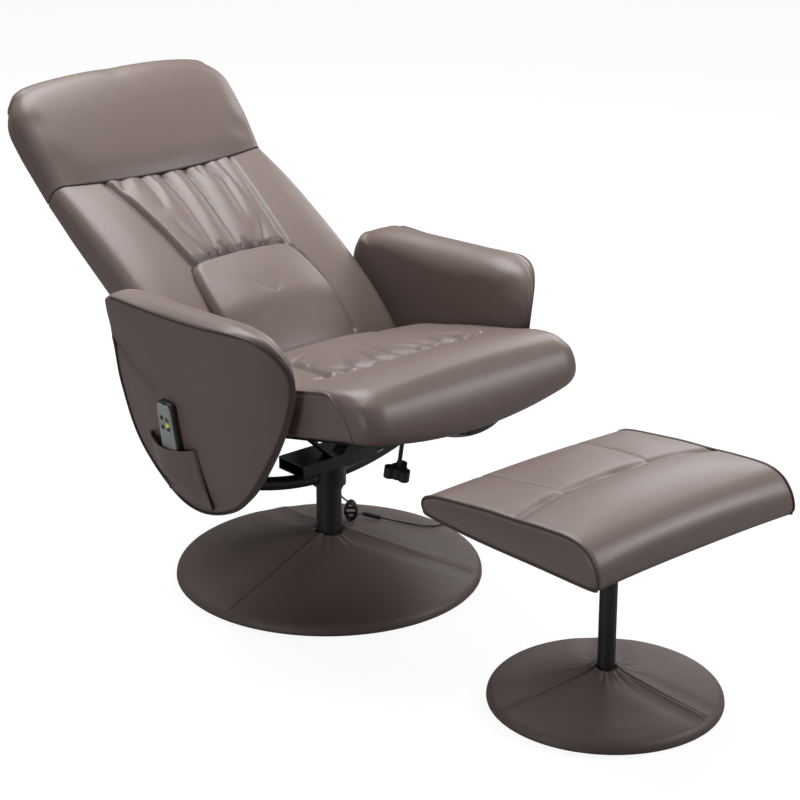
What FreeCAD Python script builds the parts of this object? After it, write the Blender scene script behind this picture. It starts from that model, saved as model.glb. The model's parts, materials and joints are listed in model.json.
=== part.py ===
"""Massage recliner on a swivel base with a matching footstool, in millimetres.

The origin is on the floor on the swivel axis. +Z is up, the chair faces -Y and the
sitter's left hand is towards +X. The back is modelled reclined.
"""
import math
import os

import FreeCAD
import Part
from FreeCAD import Placement, Rotation, Vector
from Sketcher import Constraint

SIZES = {
    # chair base
    "base_radius": 285.0,
    "base_plate_inset": 6.3,
    "base_plate_thickness": 6.0,
    "glide_height": 4.0,
    "glide_radius": 14.0,
    "rim_height": 14.0,
    "rim_round": 11.0,
    "cover_wall": 6.0,
    "cover_ledge": 17.0,
    "dome_top": 90.0,
    "dome_flat_radius": 58.0,
    "dome_flat_drop": 8.0,
    "dome_hole_gap": 7.5,
    # chair column and swivel
    "column_radius": 23.5,
    "column_bore": 17.0,
    "column_top": 178.0,
    "flange_radius": 55.0,
    "flange_thickness": 8.0,
    "bolt_radius": 4.0,
    "bolt_head_radius": 7.0,
    "bolt_head_height": 5.0,
    "bush_length": 25.0,
    "bush_low": 40.0,
    "spindle_radius": 14.0,
    "spindle_socket": 4.0,
    "running_clearance": 0.03,
    "washer_thickness": 3.0,
    "clip_thickness": 2.0,
    "clip_gap": 0.6,
    "clip_groove": 1.5,
    "clip_rim": 2.0,
    # bow, hub and mechanism box
    "hub_radius": 32.0,
    "bow_bottom": 186.0,
    "bow_tube_radius": 12.5,
    "bow_sweep_radius": 555.0,
    "bow_flange_width": 70.0,
    "bow_flange_height": 56.0,
    "bow_flange_thickness": 5.0,
    "box_half_width": 88.0,
    "box_half_depth": 36.0,
    "box_bottom": 222.0,
    "box_height": 24.0,
    "box_wall": 3.0,
    # recline hinge and seat frame
    "hinge_y": 95.0,
    "hinge_z": 385.0,
    "seat_tilt": 12.5,
    "back_recline": 57.0,
    "seat_half_width": 250.0,
    "seat_front": 505.0,
    "seat_rear": 42.0,
    "seat_bottom": 46.0,
    "seat_top": 25.0,
    "seat_crown": 10.0,
    "seat_lip_drop": 37.0,
    "seat_lip_depth": 26.0,
    "seam_radius": 5.0,
    "seat_corner": 14.0,
    "seat_seam_rear_x": 112.0,
    "seat_seam_x": 172.0,
    "seat_cross_seam": 346.0,
    "panel_thickness": 12.0,
    "panel_inset": 15.0,
    "panel_front_inset": 50.0,
    "panel_rear_inset": 18.0,
    "rail_size": 25.0,
    "rail_inset": 70.0,
    "ear_thickness": 4.0,
    "ear_gap": 1.0,
    "ear_reach": 16.0,
    "pin_radius": 6.0,
    "strut_angle": 42.0,
    "strut_width": 30.0,
    "strut_thickness": 5.0,
    "strut_foot_x": 11.0,
    "mid_rail_y": 100.0,
    # recline lock
    "lock_y": 289.0,
    "lock_drop": 101.0,
    "lock_lean": 10.0,
    "lock_bar_radius": 6.0,
    "lock_cheek_gap": 10.0,
    "lock_cheek_thickness": 4.0,
    "lock_cheek_depth": 32.0,
    "lock_floor_drop": 20.0,
    "lock_pin_radius": 4.0,
    "lock_slot_width": 15.0,
    "lever_thickness": 6.0,
    "lever_width": 27.0,
    "stem_radius": 4.0,
    "stem_length": 82.0,
    "contact_gap": 0.3,
    "knob_height": 20.0,
    "knob_core_radius": 15.0,
    "knob_lobe_radius": 10.0,
    "knob_lobe_offset": 16.0,
    # control housing and vibration motors
    "control_x": 95.0,
    "control_width": 60.0,
    "control_front": 345.0,
    "control_depth": 70.0,
    "control_height": 76.0,
    "motor_radius": 22.0,
    "motor_length": 24.0,
    "motor_wall": 3.0,
    "motor_shaft_radius": 2.0,
    "motor_weight_radius": 14.0,
    "seat_motor_y": 250.0,
    "back_motor_height": 131.0,
    # back
    "back_inset": 1.0,
    "back_corner": 11.0,
    "back_length": 500.0,
    "back_rear": 14.0,
    "back_front": 52.0,
    "back_crown": 8.0,
    "frame_inset": 14.0,
    "frame_tube": 22.0,
    "frame_front": 10.0,
    "frame_top": 515.0,
    "frame_foot": 12.0,
    "frame_low_rail": 16.0,
    "skirt_gap": 1.5,
    "cover_thickness": 4.0,
    "head_top": 718.0,
    "head_front": 70.0,
    "lumbar_low_half": 140.0,
    "lumbar_high_half": 107.0,
    "lumbar_low": 18.0,
    "lumbar_high": 240.0,
    "lumbar_seat": 36.0,
    "lumbar_swell": 12.0,
    "lumbar_corner": 7.0,
    "gather_half": 150.0,
    # armrests
    "arm_clearance": 12.0,
    "arm_width": 83.0,
    "arm_front_taper": 90.0,
    "arm_lean": 8.0,
    "arm_top": 590.0,
    "arm_bottom": 203.0,
    "arm_front": 240.0,
    "arm_rear": 206.0,
    "arm_panel_thickness": 8.0,
    "arm_board_thickness": 8.0,
    "arm_board_inset": 15.0,
    "arm_edge_round": 12.0,
    "arm_bolt_radius": 3.0,
    # remote control and pocket
    "remote_y": 40.0,
    "remote_width": 48.0,
    "remote_length": 150.0,
    "remote_thickness": 20.0,
    "remote_top_drop": 180.0,
    "remote_gap": 0.5,
    "face_thickness": 2.0,
    "face_margin": 4.0,
    "button_radius": 4.5,
    "button_rise": 1.6,
    "button_travel": 1.2,
    "button_spread": 16.0,
    "button_pitch": 18.0,
    "button_top_drop": 30.0,
    "pocket_half_width": 58.0,
    "pocket_y": 34.0,
    "pocket_mouth_drop": 262.0,
    "pocket_bulge": 34.0,
    "pocket_wall": 3.0,
    # footstool
    "stool_x": 16.0,
    "stool_y": -697.0,
    "stool_base_radius": 198.0,
    "stool_dome_top": 67.0,
    "stool_dome_flat_radius": 40.0,
    "stool_column_radius": 15.0,
    "stool_flange_radius": 36.0,
    "stool_cushion_bottom": 331.0,
    "stool_board_thickness": 9.0,
    "stool_plate_thickness": 4.0,
    "stool_plate_radius": 60.0,
    "stool_half_width": 231.0,
    "stool_rear": 205.0,
    "stool_front": 190.0,
    "stool_thickness": 68.0,
    "stool_crown": 8.0,
    "stool_corner": 10.0,
    "stool_board_side_inset": 38.0,
    "stool_board_end_inset": 46.0,
    # low-voltage lead
    "lead_radius": 1.7,
    "grommet_radius": 5.0,
    "grommet_length": 9.0,
    "grommet_height": 164.0,
    "grommet_turn": 15.0,
    "connector_radius": 4.5,
    "tie_wall": 1.0,
    "tie_width": 5.0,
    "adapter_length": 62.0,
    "adapter_width": 40.0,
    "adapter_height": 30.0,
    "adapter_pin_radius": 2.4,
    "adapter_pin_length": 19.0,
    "adapter_pin_spread": 9.5,
}

doc = FreeCAD.newDocument("recliner")
sheet = doc.addObject("Spreadsheet::Sheet", "sizes")
for row, (alias, number) in enumerate(SIZES.items(), start=1):
    sheet.set(f"A{row}", alias)
    sheet.set(f"B{row}", str(number))
    sheet.setAlias(f"B{row}", alias)
doc.recompute()


class Length:
    """A number together with the sheet expression that gives it."""

    def __init__(self, value, text):
        self.value = value
        self.text = text

    def __add__(self, other):
        other = length(other)
        return Length(self.value + other.value, f"({self.text} + {other.text})")

    def __sub__(self, other):
        other = length(other)
        return Length(self.value - other.value, f"({self.text} - {other.text})")

    def __mul__(self, factor):
        return Length(self.value * factor, f"({self.text} * {factor})")

    def __neg__(self):
        return self * -1.0

    def __radd__(self, other):
        return length(other) + self

    def __rsub__(self, other):
        return length(other) - self


def length(value):
    """A plain number or a Length, as a Length."""
    return value if isinstance(value, Length) else Length(float(value), str(float(value)))


class Sheet:
    """The sheet's sizes by name: d.base_radius is a Length."""

    def __getattr__(self, name):
        return Length(float(sheet.get(name)), f"sizes.{name}")


class Numbers:
    """The sheet's sizes by name: n.base_radius is a plain number."""

    def __getattr__(self, name):
        return float(sheet.get(name))


d = Sheet()
n = Numbers()
nodes = {}

# Places that follow from the seat's width
ARM_INNER = d.seat_half_width + d.arm_clearance
ARM_OUTER = ARM_INNER + d.arm_width
PANEL_HALF = d.seat_half_width - d.panel_inset
BACK_HALF = d.seat_half_width - d.back_inset
FRAME_HALF = BACK_HALF - d.frame_inset
PANEL_FRONT = d.seat_front - d.panel_front_inset
PANEL_REAR = d.seat_rear + d.panel_rear_inset


def turned(x, y, z, axis, angle):
    return Placement(Vector(x, y, z), Rotation(axis, angle))


X_AXIS = Vector(1, 0, 0)
Y_AXIS = Vector(0, 1, 0)
Z_AXIS = Vector(0, 0, 1)
WORLD = Placement()
SEAT = turned(0, n.hinge_y, n.hinge_z, X_AXIS, -n.seat_tilt)
BACK = turned(0, n.hinge_y, n.hinge_z, X_AXIS, -n.back_recline)
LOCK = Placement(SEAT.multVec(Vector(0, -n.lock_y, -n.lock_drop)), Rotation(X_AXIS, n.lock_lean))
ARM_FACE = turned(-ARM_OUTER.value, 0, n.arm_top, Y_AXIS, -n.arm_lean)
STOOL = turned(n.stool_x, n.stool_y, 0, Z_AXIS, 0)


def bind(item, **sizes):
    """Set sizes of a document object and bind them to the sheet."""
    for name, size in sizes.items():
        size = length(size)
        setattr(item, name, size.value)
        item.setExpression(name, size.text)
    return item


def block(low, high, frame=WORLD):
    """Box between two corners given in a frame."""
    low = [length(v) for v in low]
    high = [length(v) for v in high]
    item = doc.addObject("Part::Box", "block")
    bind(item, Length=high[0] - low[0], Width=high[1] - low[1], Height=high[2] - low[2])
    item.Placement = frame.multiply(turned(*[v.value for v in low], Z_AXIS, 0))
    return item


def rod(radius, height, at, frame=WORLD, along="z"):
    """Cylinder from a point along one axis of a frame."""
    item = doc.addObject("Part::Cylinder", "rod")
    bind(item, Radius=radius, Height=height)
    turn = {"z": (Z_AXIS, 0), "x": (Y_AXIS, 90), "y": (X_AXIS, -90)}[along]
    item.Placement = frame.multiply(turned(*[length(v).value for v in at], *turn))
    return item


def shaped(shape):
    """Document object that holds a shape worked out from the sheet's sizes."""
    item = doc.addObject("Part::Feature", "form")
    item.Shape = shape
    return item


def fuse(*items):
    item = doc.addObject("Part::MultiFuse", "fuse")
    item.Shapes = list(items)
    item.Refine = True
    return item


def cut(base, *tools):
    item = doc.addObject("Part::Cut", "cut")
    item.Base = base
    item.Tool = tools[0] if len(tools) == 1 else fuse(*tools)
    return item


def group(*items):
    item = doc.addObject("Part::Compound", "group")
    item.Links = list(items)
    return item


def node(label, item):
    """Name a finished piece."""
    item.Label = label
    nodes[label] = item
    return item


def revolved(label, points, frame=WORLD):
    """PartDesign body turned about Z from a closed profile of (radius, height) corners."""
    body = doc.addObject("PartDesign::Body", label)
    sketch = body.newObject("Sketcher::SketchObject", label + "_profile")
    plane = [f for f in body.Origin.OriginFeatures if f.Role == "XZ_Plane"][0]
    sketch.AttachmentSupport = (plane, [""])
    sketch.MapMode = "FlatFace"
    corners = [(length(r), length(z)) for r, z in points]
    flat = [Vector(r.value, z.value, 0) for r, z in corners]
    for start, end in zip(flat, flat[1:] + flat[:1]):
        sketch.addGeometry(Part.LineSegment(start, end))
    constrain_corners(sketch, corners)
    turn = body.newObject("PartDesign::Revolution", label + "_turn")
    turn.Profile = sketch
    turn.ReferenceAxis = (sketch, ["V_Axis"])
    turn.Angle = 360
    body.Placement = frame
    return body


def constrain_corners(sketch, corners):
    """Join the profile's lines end to end and bind each corner's two distances."""
    last = len(corners) - 1
    for i in range(len(corners)):
        follower = 0 if i == last else i + 1
        sketch.addConstraint(Constraint("Coincident", i, 2, follower, 1))
    for i, (radius, height) in enumerate(corners):
        up = sketch.addConstraint(Constraint("DistanceY", -1, 1, i, 1, height.value))
        sketch.setExpression(f"Constraints[{up}]", height.text)
        if radius.value == 0:
            sketch.addConstraint(Constraint("PointOnObject", i, 1, -2))
            continue
        across = sketch.addConstraint(Constraint("DistanceX", -1, 1, i, 1, radius.value))
        sketch.setExpression(f"Constraints[{across}]", radius.text)


# Forms made from lines and arcs


def arc(start, middle, end):
    return Part.Arc(start, middle, end).toShape()


def line(start, end):
    return Part.LineSegment(start, end).toShape()


def padded_section(at, half, low, high, crown, corner):
    """Closed outline with rounded corners and a crowned top; at(x, z) places its points."""
    inset = corner * (1 - math.sqrt(0.5))
    flat = half - corner
    middle = high + crown
    return Part.Wire([
        line(at(-flat, low), at(flat, low)),
        arc(at(flat, low), at(half - inset, low + inset), at(half, low + corner)),
        line(at(half, low + corner), at(half, high - corner)),
        arc(at(half, high - corner), at(half - inset, high - inset), at(flat, high)),
        arc(at(flat, high), at(0, middle), at(-flat, high)),
        arc(at(-flat, high), at(-half + inset, high - inset), at(-half, high - corner)),
        line(at(-half, high - corner), at(-half, low + corner)),
        arc(at(-half, low + corner), at(-half + inset, low + inset), at(-flat, low)),
    ])


def loft(wires):
    return Part.makeLoft(wires, True, True)


def tube(edges, radius):
    """Round tube along a wire of tangent edges."""
    path = Part.Wire(edges)
    first = path.Edges[0]
    start = first.valueAt(first.FirstParameter)
    heading = first.tangentAt(first.FirstParameter)
    if (start - path.Vertexes[0].Point).Length > 1e-6:
        start = first.valueAt(first.LastParameter)
        heading = first.tangentAt(first.LastParameter)
    ring = Part.Wire([Part.makeCircle(radius, start, heading)])
    return path.makePipeShell([ring], True, False)


def wound_tube(edges, radius):
    """Round tube of a winding: its ring is carried along each line and turned about each arc's centre."""
    first = edges[0]
    ring = Part.makeCircle(radius, first.valueAt(first.FirstParameter), first.tangentAt(first.FirstParameter))
    faces = [Part.Face(Part.Wire([ring]))]
    for edge in edges:
        turn = edge.LastParameter - edge.FirstParameter
        onward = ring.copy()
        if isinstance(edge.Curve, Part.Circle):
            about = (edge.Curve.Center, edge.Curve.Axis, math.degrees(turn))
            faces.append(ring.revolve(*about))
            onward.rotate(*about)
        else:
            run = edge.valueAt(edge.LastParameter) - edge.valueAt(edge.FirstParameter)
            faces.append(ring.extrude(run))
            onward.translate(run)
        ring = onward
    faces.append(Part.Face(Part.Wire([ring])))
    shell = Part.makeShell(faces)
    shell.sewShape()
    solid = Part.makeSolid(shell)
    if solid.Volume < 0:
        solid.reverse()
    return solid


def groove(start, end, radius):
    """Straight sewn channel between two points."""
    run = end - start
    return Part.makeCylinder(radius, run.Length, start, run)


def half_turn_arc(start, corner, end):
    """Arc that leaves start towards corner and arrives at end from corner."""
    middle = (start + end) * 0.5
    reach = (corner - middle).Length
    half = (end - start).Length / 2
    if reach < 1e-7:
        return line(start, end)
    sagitta = half * math.tan(math.atan2(reach, half) / 2)
    return arc(start, middle + (corner - middle) * (sagitta / reach), end)


def biarcs(points, tangents):
    """Two tangent arcs between each pair of points."""
    edges = []
    for p, q, t, u in zip(points, points[1:], tangents, tangents[1:]):
        chord = q - p
        both = t + u
        spread = 2 * (1 - t.dot(u))
        along = chord.dot(both)
        if spread > 1e-9:
            reach = (-along + math.sqrt(along * along + spread * chord.dot(chord))) / spread
        else:
            reach = chord.dot(chord) / (4 * chord.dot(u))
        joint = (p + t * reach + q - u * reach) * 0.5
        edges.append(half_turn_arc(p, p + t * reach, joint))
        edges.append(half_turn_arc(joint, q - u * reach, q))
    return edges


def winding(name, edges, radius):
    """Wound tube; prints the least distance between stretches of it that are not neighbours."""
    step = 2.0
    points = []
    for edge in edges:
        points += edge.discretize(max(3, int(edge.Length / step)))[:-1]
    skip = int(4 * math.pi * radius / step) + 2
    least = min((points[i] - points[j]).Length
                for i in range(len(points)) for j in range(i + skip, len(points)))
    run = sum(e.Length for e in edges)
    shape = wound_tube(edges, radius)
    share_kept = shape.Volume / (math.pi * radius ** 2 * run)
    print(f"{name}: length {run:.0f}, volume share {share_kept:.3f}, least gap {least - 2 * radius:.2f}")
    return shape


def lead_tube(name, route):
    """Lead along straight runs joined by the largest arcs that the runs allow."""
    share = 0.45
    edges = []
    start = route[0]
    radii = []
    for before, corner, after in zip(route, route[1:], route[2:]):
        back = before - corner
        onward = after - corner
        turn = math.pi - back.getAngle(onward)
        trim = share * min(back.Length, onward.Length)
        radii.append(trim / math.tan(turn / 2))
        enter = corner + back.normalize() * trim
        leave = corner + onward.normalize() * trim
        edges.append(line(start, enter))
        edges.append(half_turn_arc(enter, corner, leave))
        start = leave
    edges.append(line(start, route[-1]))
    shape = tube(edges, n.lead_radius)
    run = sum(e.Length for e in edges)
    share_kept = shape.Volume / (math.pi * n.lead_radius ** 2 * run)
    print(f"{name}: length {run:.0f}, volume share {share_kept:.3f}, radii",
          " ".join(f"{r:.0f}" for r in radii))
    return shape


# Chair base and footstool base


def round_base(label, radius, dome_top, flat_radius, column_radius, frame):
    """Plate on glides with a domed cover that rests on the plate's edge."""
    plate_low = d.glide_height
    plate_top = plate_low + d.base_plate_thickness
    plate_radius = radius - d.base_plate_inset
    node(label + "_base_plate", revolved(label + "_base_plate", [
        (0, plate_low), (plate_radius, plate_low), (plate_radius, plate_top), (0, plate_top)], frame))
    hole = column_radius + d.dome_hole_gap
    skirt = radius - d.cover_wall
    ledge = skirt - d.cover_ledge
    rim_top = d.rim_height
    shoulder = rim_top + d.rim_round * 0.9
    node(label + "_base_cover", revolved(label + "_base_cover", [
        (skirt, plate_low), (radius, plate_low), (radius, rim_top),
        (radius - d.rim_round * 0.3, rim_top + d.rim_round * 0.6), (radius - d.rim_round, shoulder),
        (flat_radius, dome_top - d.dome_flat_drop), (hole, dome_top),
        (hole, dome_top - d.cover_wall), (flat_radius, dome_top - d.dome_flat_drop - d.cover_wall),
        (ledge, shoulder - d.cover_wall * 0.5), (ledge, plate_top), (skirt, plate_top)], frame))
    count = 6
    ring = radius - d.cover_wall - d.glide_radius * 2
    glides = [rod(d.glide_radius, d.glide_height, (0, 0, 0), frame)]
    for i in range(count):
        angle = 2 * math.pi * i / count
        at = (ring.value * math.cos(angle), ring.value * math.sin(angle), 0)
        glides.append(rod(d.glide_radius, d.glide_height, at, frame))
    node(label + "_glides", group(*glides))


def chair_column():
    foot = d.glide_height + d.base_plate_thickness
    flange_top = foot + d.flange_thickness
    body = revolved("column_tube", [
        (d.column_bore, foot), (d.flange_radius, foot), (d.flange_radius, flange_top),
        (d.column_radius, flange_top), (d.column_radius, d.column_top), (d.column_bore, d.column_top)])
    ring = (n.column_radius + n.flange_radius) / 2
    holes = []
    bolts = []
    for i in range(4):
        angle = math.pi / 4 + i * math.pi / 2
        at = (ring * math.cos(angle), ring * math.sin(angle))
        holes.append(rod(d.bolt_radius, d.flange_thickness + 2, (*at, foot - 1)))
        bolts.append(fuse(rod(d.bolt_radius, d.flange_thickness, (*at, foot)),
                          rod(d.bolt_head_radius, d.bolt_head_height, (*at, flange_top))))
    node("column_bolts", group(*bolts))
    turn = turned(0, 0, n.grommet_height, Z_AXIS, n.grommet_turn)
    lead_hole = rod(d.grommet_radius - 1.5, d.column_radius, (d.column_bore * 0.5, 0, 0), turn, "x")
    node("chair_column", cut(body, lead_hole, *holes))
    seat = rod(d.column_radius, d.grommet_radius * 4, (0, 0, d.grommet_height - d.grommet_radius * 2))
    collar = rod(d.grommet_radius, d.grommet_length, (d.column_radius - 1, 0, 0), turn, "x")
    node("lead_grommet", cut(collar, seat))


def swivel():
    outer = d.column_bore
    inner = d.spindle_radius + d.running_clearance
    upper = d.column_top - d.bush_length
    bushes = [revolved(name, [(inner, low), (outer, low), (outer, low + d.bush_length),
                              (inner, low + d.bush_length)])
              for name, low in (("bush_lower", d.bush_low), ("bush_upper", upper))]
    node("column_bushes", group(*bushes))
    hub_low = d.column_top + d.washer_thickness
    node("thrust_washer", revolved("thrust_washer", [
        (inner, d.column_top), (d.column_radius, d.column_top),
        (d.column_radius, hub_low), (inner, hub_low)]))
    clip_top = d.bush_low - d.clip_gap
    clip_low = clip_top - d.clip_thickness
    groove_radius = d.spindle_radius - d.clip_groove
    node("swivel_spindle", revolved("swivel_spindle", [
        (0, clip_low - 6), (d.spindle_radius, clip_low - 6), (d.spindle_radius, clip_low),
        (groove_radius, clip_low), (groove_radius, clip_top), (d.spindle_radius, clip_top),
        (d.spindle_radius, hub_low + d.spindle_socket), (0, hub_low + d.spindle_socket)]))
    clip_outer = d.spindle_radius + d.clip_rim
    node("spindle_clip", revolved("spindle_clip", [
        (groove_radius, clip_low), (clip_outer, clip_low), (clip_outer, clip_top),
        (groove_radius, clip_top)]))


def bow_height(x):
    """Height of the bow's centre line over a sideways distance."""
    return (n.bow_bottom + n.bow_tube_radius + n.bow_sweep_radius
            - math.sqrt(n.bow_sweep_radius ** 2 - x * x))


def board_inner_x(z):
    """Sideways place of an arm board's inner face at the bow, at a height."""
    lean = math.tan(math.radians(n.arm_lean))
    return (ARM_OUTER.value - (n.arm_top - z) * lean
            - n.arm_panel_thickness - n.arm_board_thickness)


def arm_side(sign):
    """Frame on an arm board's inner face where the bow meets it; its +X points outwards."""
    reach = board_inner_x(bow_height(ARM_INNER.value))
    level = bow_height(reach)
    reach = board_inner_x(level)
    turn = Rotation(Y_AXIS, n.arm_lean)
    place = Placement(Vector(reach, 0, level), turn)
    if sign < 0:
        place = Placement(Vector(-reach, 0, level), Rotation(Z_AXIS, 180).multiply(turn))
    return place


def arm_bolt_places():
    spread_y = n.bow_flange_width / 2 - 12
    spread_z = n.bow_flange_height / 2 - 10
    return [(y, z) for y in (-spread_y, spread_y) for z in (-spread_z, spread_z)]


def bow():
    """Bow tube with a bolting flange at each end, and the hub that carries it."""
    reach = ARM_OUTER.value
    curve = arc(Vector(-reach, 0, bow_height(reach)), Vector(0, 0, bow_height(0)),
                Vector(reach, 0, bow_height(reach)))
    raw = shaped(tube([curve], n.bow_tube_radius))
    ends = []
    flanges = []
    holes = []
    for sign in (1, -1):
        frame = arm_side(sign)
        half_width = d.bow_flange_width * 0.5
        half_height = d.bow_flange_height * 0.5
        ends.append(block((0, -200, -200), (200, 200, 200), frame))
        flanges.append(block((-d.bow_flange_thickness, -half_width, -half_height),
                             (0, half_width, half_height), frame))
        for y, z in arm_bolt_places():
            holes.append(rod(d.arm_bolt_radius, 40, (-20, y, z), frame, "x"))
    node("bow_tube", cut(fuse(cut(raw, *ends), *flanges), *holes))
    low = d.column_top + d.washer_thickness
    socket = rod(d.spindle_radius, d.spindle_socket, (0, 0, low))
    node("bow_hub", cut(rod(d.hub_radius, d.box_bottom - low, (0, 0, low)), socket, raw))


def mechanism_box():
    low = d.box_bottom
    high = low + d.box_height
    wall = d.box_wall
    shell = block((-d.box_half_width, -d.box_half_depth, low), (d.box_half_width, d.box_half_depth, high))
    room = block((-d.box_half_width - 1, -d.box_half_depth + wall, low + wall),
                 (d.box_half_width + 1, d.box_half_depth - wall, high - wall))
    node("mechanism_box", cut(shell, room, nodes["bow_tube"]))


def seat_struts():
    top = n.box_bottom + n.box_height
    middle_y = SEAT.multVec(Vector(0, -n.mid_rail_y, -n.seat_bottom - n.panel_thickness - n.rail_size)).y
    long = SEAT.multVec(Vector(0, -n.mid_rail_y, 0)).z
    bars = []
    for sign in (1, -1):
        angle = -n.strut_angle if sign > 0 else n.strut_angle - 180
        frame = turned(sign * n.strut_foot_x, middle_y, top, Y_AXIS, angle)
        bar = block((-60, -d.strut_width * 0.5, 0), (long, d.strut_width * 0.5, d.strut_thickness), frame)
        wide = d.seat_half_width * 2
        floor = block((-wide, -wide, 0), (wide, wide, d.box_bottom + d.box_height))
        under_rail = d.seat_bottom + d.panel_thickness + d.rail_size
        sky = block((-wide, -d.seat_front * 2, -under_rail), (wide, d.seat_front, d.seat_front), SEAT)
        bars.append(cut(bar, floor, sky))
    node("seat_struts", group(*bars))


# Seat


def seat_frame():
    top = -(d.seat_bottom + d.panel_thickness)
    low = top - d.rail_size
    half = d.seat_half_width - d.rail_inset
    front = -(PANEL_FRONT - 5)
    ear_in = d.seat_half_width + d.ear_gap
    ear_out = ear_in + d.ear_thickness
    rear = -PANEL_REAR
    pieces = []
    for sign in (1, -1):
        rail_x = sorted((half * sign, (half - d.rail_size) * sign), key=lambda v: v.value)
        ear_x = sorted((ear_in * sign, ear_out * sign), key=lambda v: v.value)
        pieces.append(block((rail_x[0], front, low), (rail_x[1], rear, top), SEAT))
        pieces.append(block((ear_x[0], rear - d.rail_size, low), (ear_x[1], d.ear_reach, d.ear_reach), SEAT))
    for y in (front, -d.mid_rail_y - d.rail_size * 0.5):
        pieces.append(block((-half, y, low), (half, y + d.rail_size, top), SEAT))
    pieces.append(block((-ear_out, rear - d.rail_size, low), (ear_out, rear, top), SEAT))
    bore = rod(d.pin_radius, ear_out * 2 + 10, (-ear_out - 5, 0, 0), SEAT, "x")
    node("seat_frame", cut(fuse(*pieces), bore))
    pins = []
    pin_in = FRAME_HALF - d.frame_tube - 4
    for sign in (1, -1):
        start = pin_in if sign > 0 else -ear_out - 1
        pins.append(rod(d.pin_radius, ear_out + 1 - pin_in, (start, 0, 0), SEAT, "x"))
    node("hinge_pins", group(*pins))


def seat_panel():
    node("seat_panel", block((-PANEL_HALF, -PANEL_FRONT, -d.seat_bottom - d.panel_thickness),
                             (PANEL_HALF, -PANEL_REAR, -d.seat_bottom), SEAT))


def seat_cushion():
    """Crowned seat with a rolled front, a lip that hangs lower in the middle and sewn channels."""
    low = -n.seat_bottom
    top = n.seat_top
    span = n.seat_front - n.seat_rear
    height = n.seat_bottom + n.seat_top
    corner = n.seat_corner
    # share of the length from the rear, lift of the bottom, drop of the top, share of the crown
    stations = [(0.0, 0.0, 0.16, 0.5), (0.06, 0.0, 0.02, 0.8), (0.45, 0.0, 0.0, 1.0),
                (0.77, 0.0, -0.04, 0.8), (0.92, 0.0, -0.02, 0.6), (0.975, 0.08, 0.12, 0.5),
                (1.0, 0.22, 0.34, 0.3)]
    wires = []
    for share, lift, drop, crown in stations:
        y = -n.seat_rear - span * share
        wires.append(padded_section(lambda x, z: Vector(x, y, z), n.seat_half_width, low + height * lift,
                                    top - height * drop, n.seat_crown * crown, corner))
    body = loft(wires)
    lip_front = -n.seat_front + span * 0.03
    half = n.seat_half_width - corner
    lip_edge = Part.Wire([
        line(Vector(-half, lip_front, low + 1), Vector(half, lip_front, low + 1)),
        arc(Vector(half, lip_front, low + 1), Vector(0, lip_front, low - n.seat_lip_drop),
            Vector(-half, lip_front, low + 1))])
    lip = Part.Face(lip_edge).extrude(Vector(0, n.seat_lip_depth, 0))
    body = body.fuse(lip)
    surface = top + n.seat_crown * 0.6 + 1
    for side in (1, -1):
        body = body.cut(groove(Vector(side * n.seat_seam_rear_x, -n.seat_rear, surface),
                               Vector(side * n.seat_seam_x, -n.seat_cross_seam, surface + 2), n.seam_radius))
    cross = arc(Vector(-n.seat_seam_x, -n.seat_cross_seam, surface + 2),
                Vector(0, -n.seat_cross_seam, surface + n.seat_crown * 0.5),
                Vector(n.seat_seam_x, -n.seat_cross_seam, surface + 2))
    body = body.cut(tube([cross], n.seam_radius))
    room = Part.makeCylinder(n.motor_radius + n.contact_gap, n.motor_length + n.contact_gap,
                             Vector(0, -n.seat_motor_y, low), Z_AXIS)
    body = body.cut(room)
    body.Placement = SEAT
    node("seat_cushion", shaped(body))


def motor(label, frame):
    """Closed vibration motor standing on its frame's XY plane, with its eccentric weight."""
    wall = d.motor_wall
    shell = rod(d.motor_radius, d.motor_length, (0, 0, 0), frame)
    room = rod(d.motor_radius - wall, d.motor_length - wall * 2, (0, 0, wall), frame)
    seat = rod(d.motor_shaft_radius + d.running_clearance, wall, (0, 0, wall * 0.25), frame)
    node(label + "_case", cut(shell, room, seat))
    shaft = rod(d.motor_shaft_radius, d.motor_length * 0.6, (0, 0, wall * 0.5), frame)
    disc_low = wall + 4
    disc = rod(d.motor_weight_radius, d.motor_length * 0.3, (0, 0, disc_low), frame)
    half = block((-d.motor_radius, d.motor_shaft_radius, disc_low - 1),
                 (d.motor_radius, d.motor_radius, d.motor_length), frame)
    node(label + "_weight", fuse(cut(disc, half), shaft))


def control_box():
    top = -(d.seat_bottom + d.panel_thickness)
    raw = block((d.control_x, -d.control_front, top - d.control_height),
                (d.control_x + d.control_width, -d.control_front + d.control_depth, top), SEAT)
    doc.recompute()
    item = doc.addObject("Part::Fillet", "control_rounding")
    item.Base = raw
    radius = n.control_width / 6
    item.Edges = [(i, radius, radius) for i in (1, 3, 5, 7)]
    node("control_box", item)


# Recline lock


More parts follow.
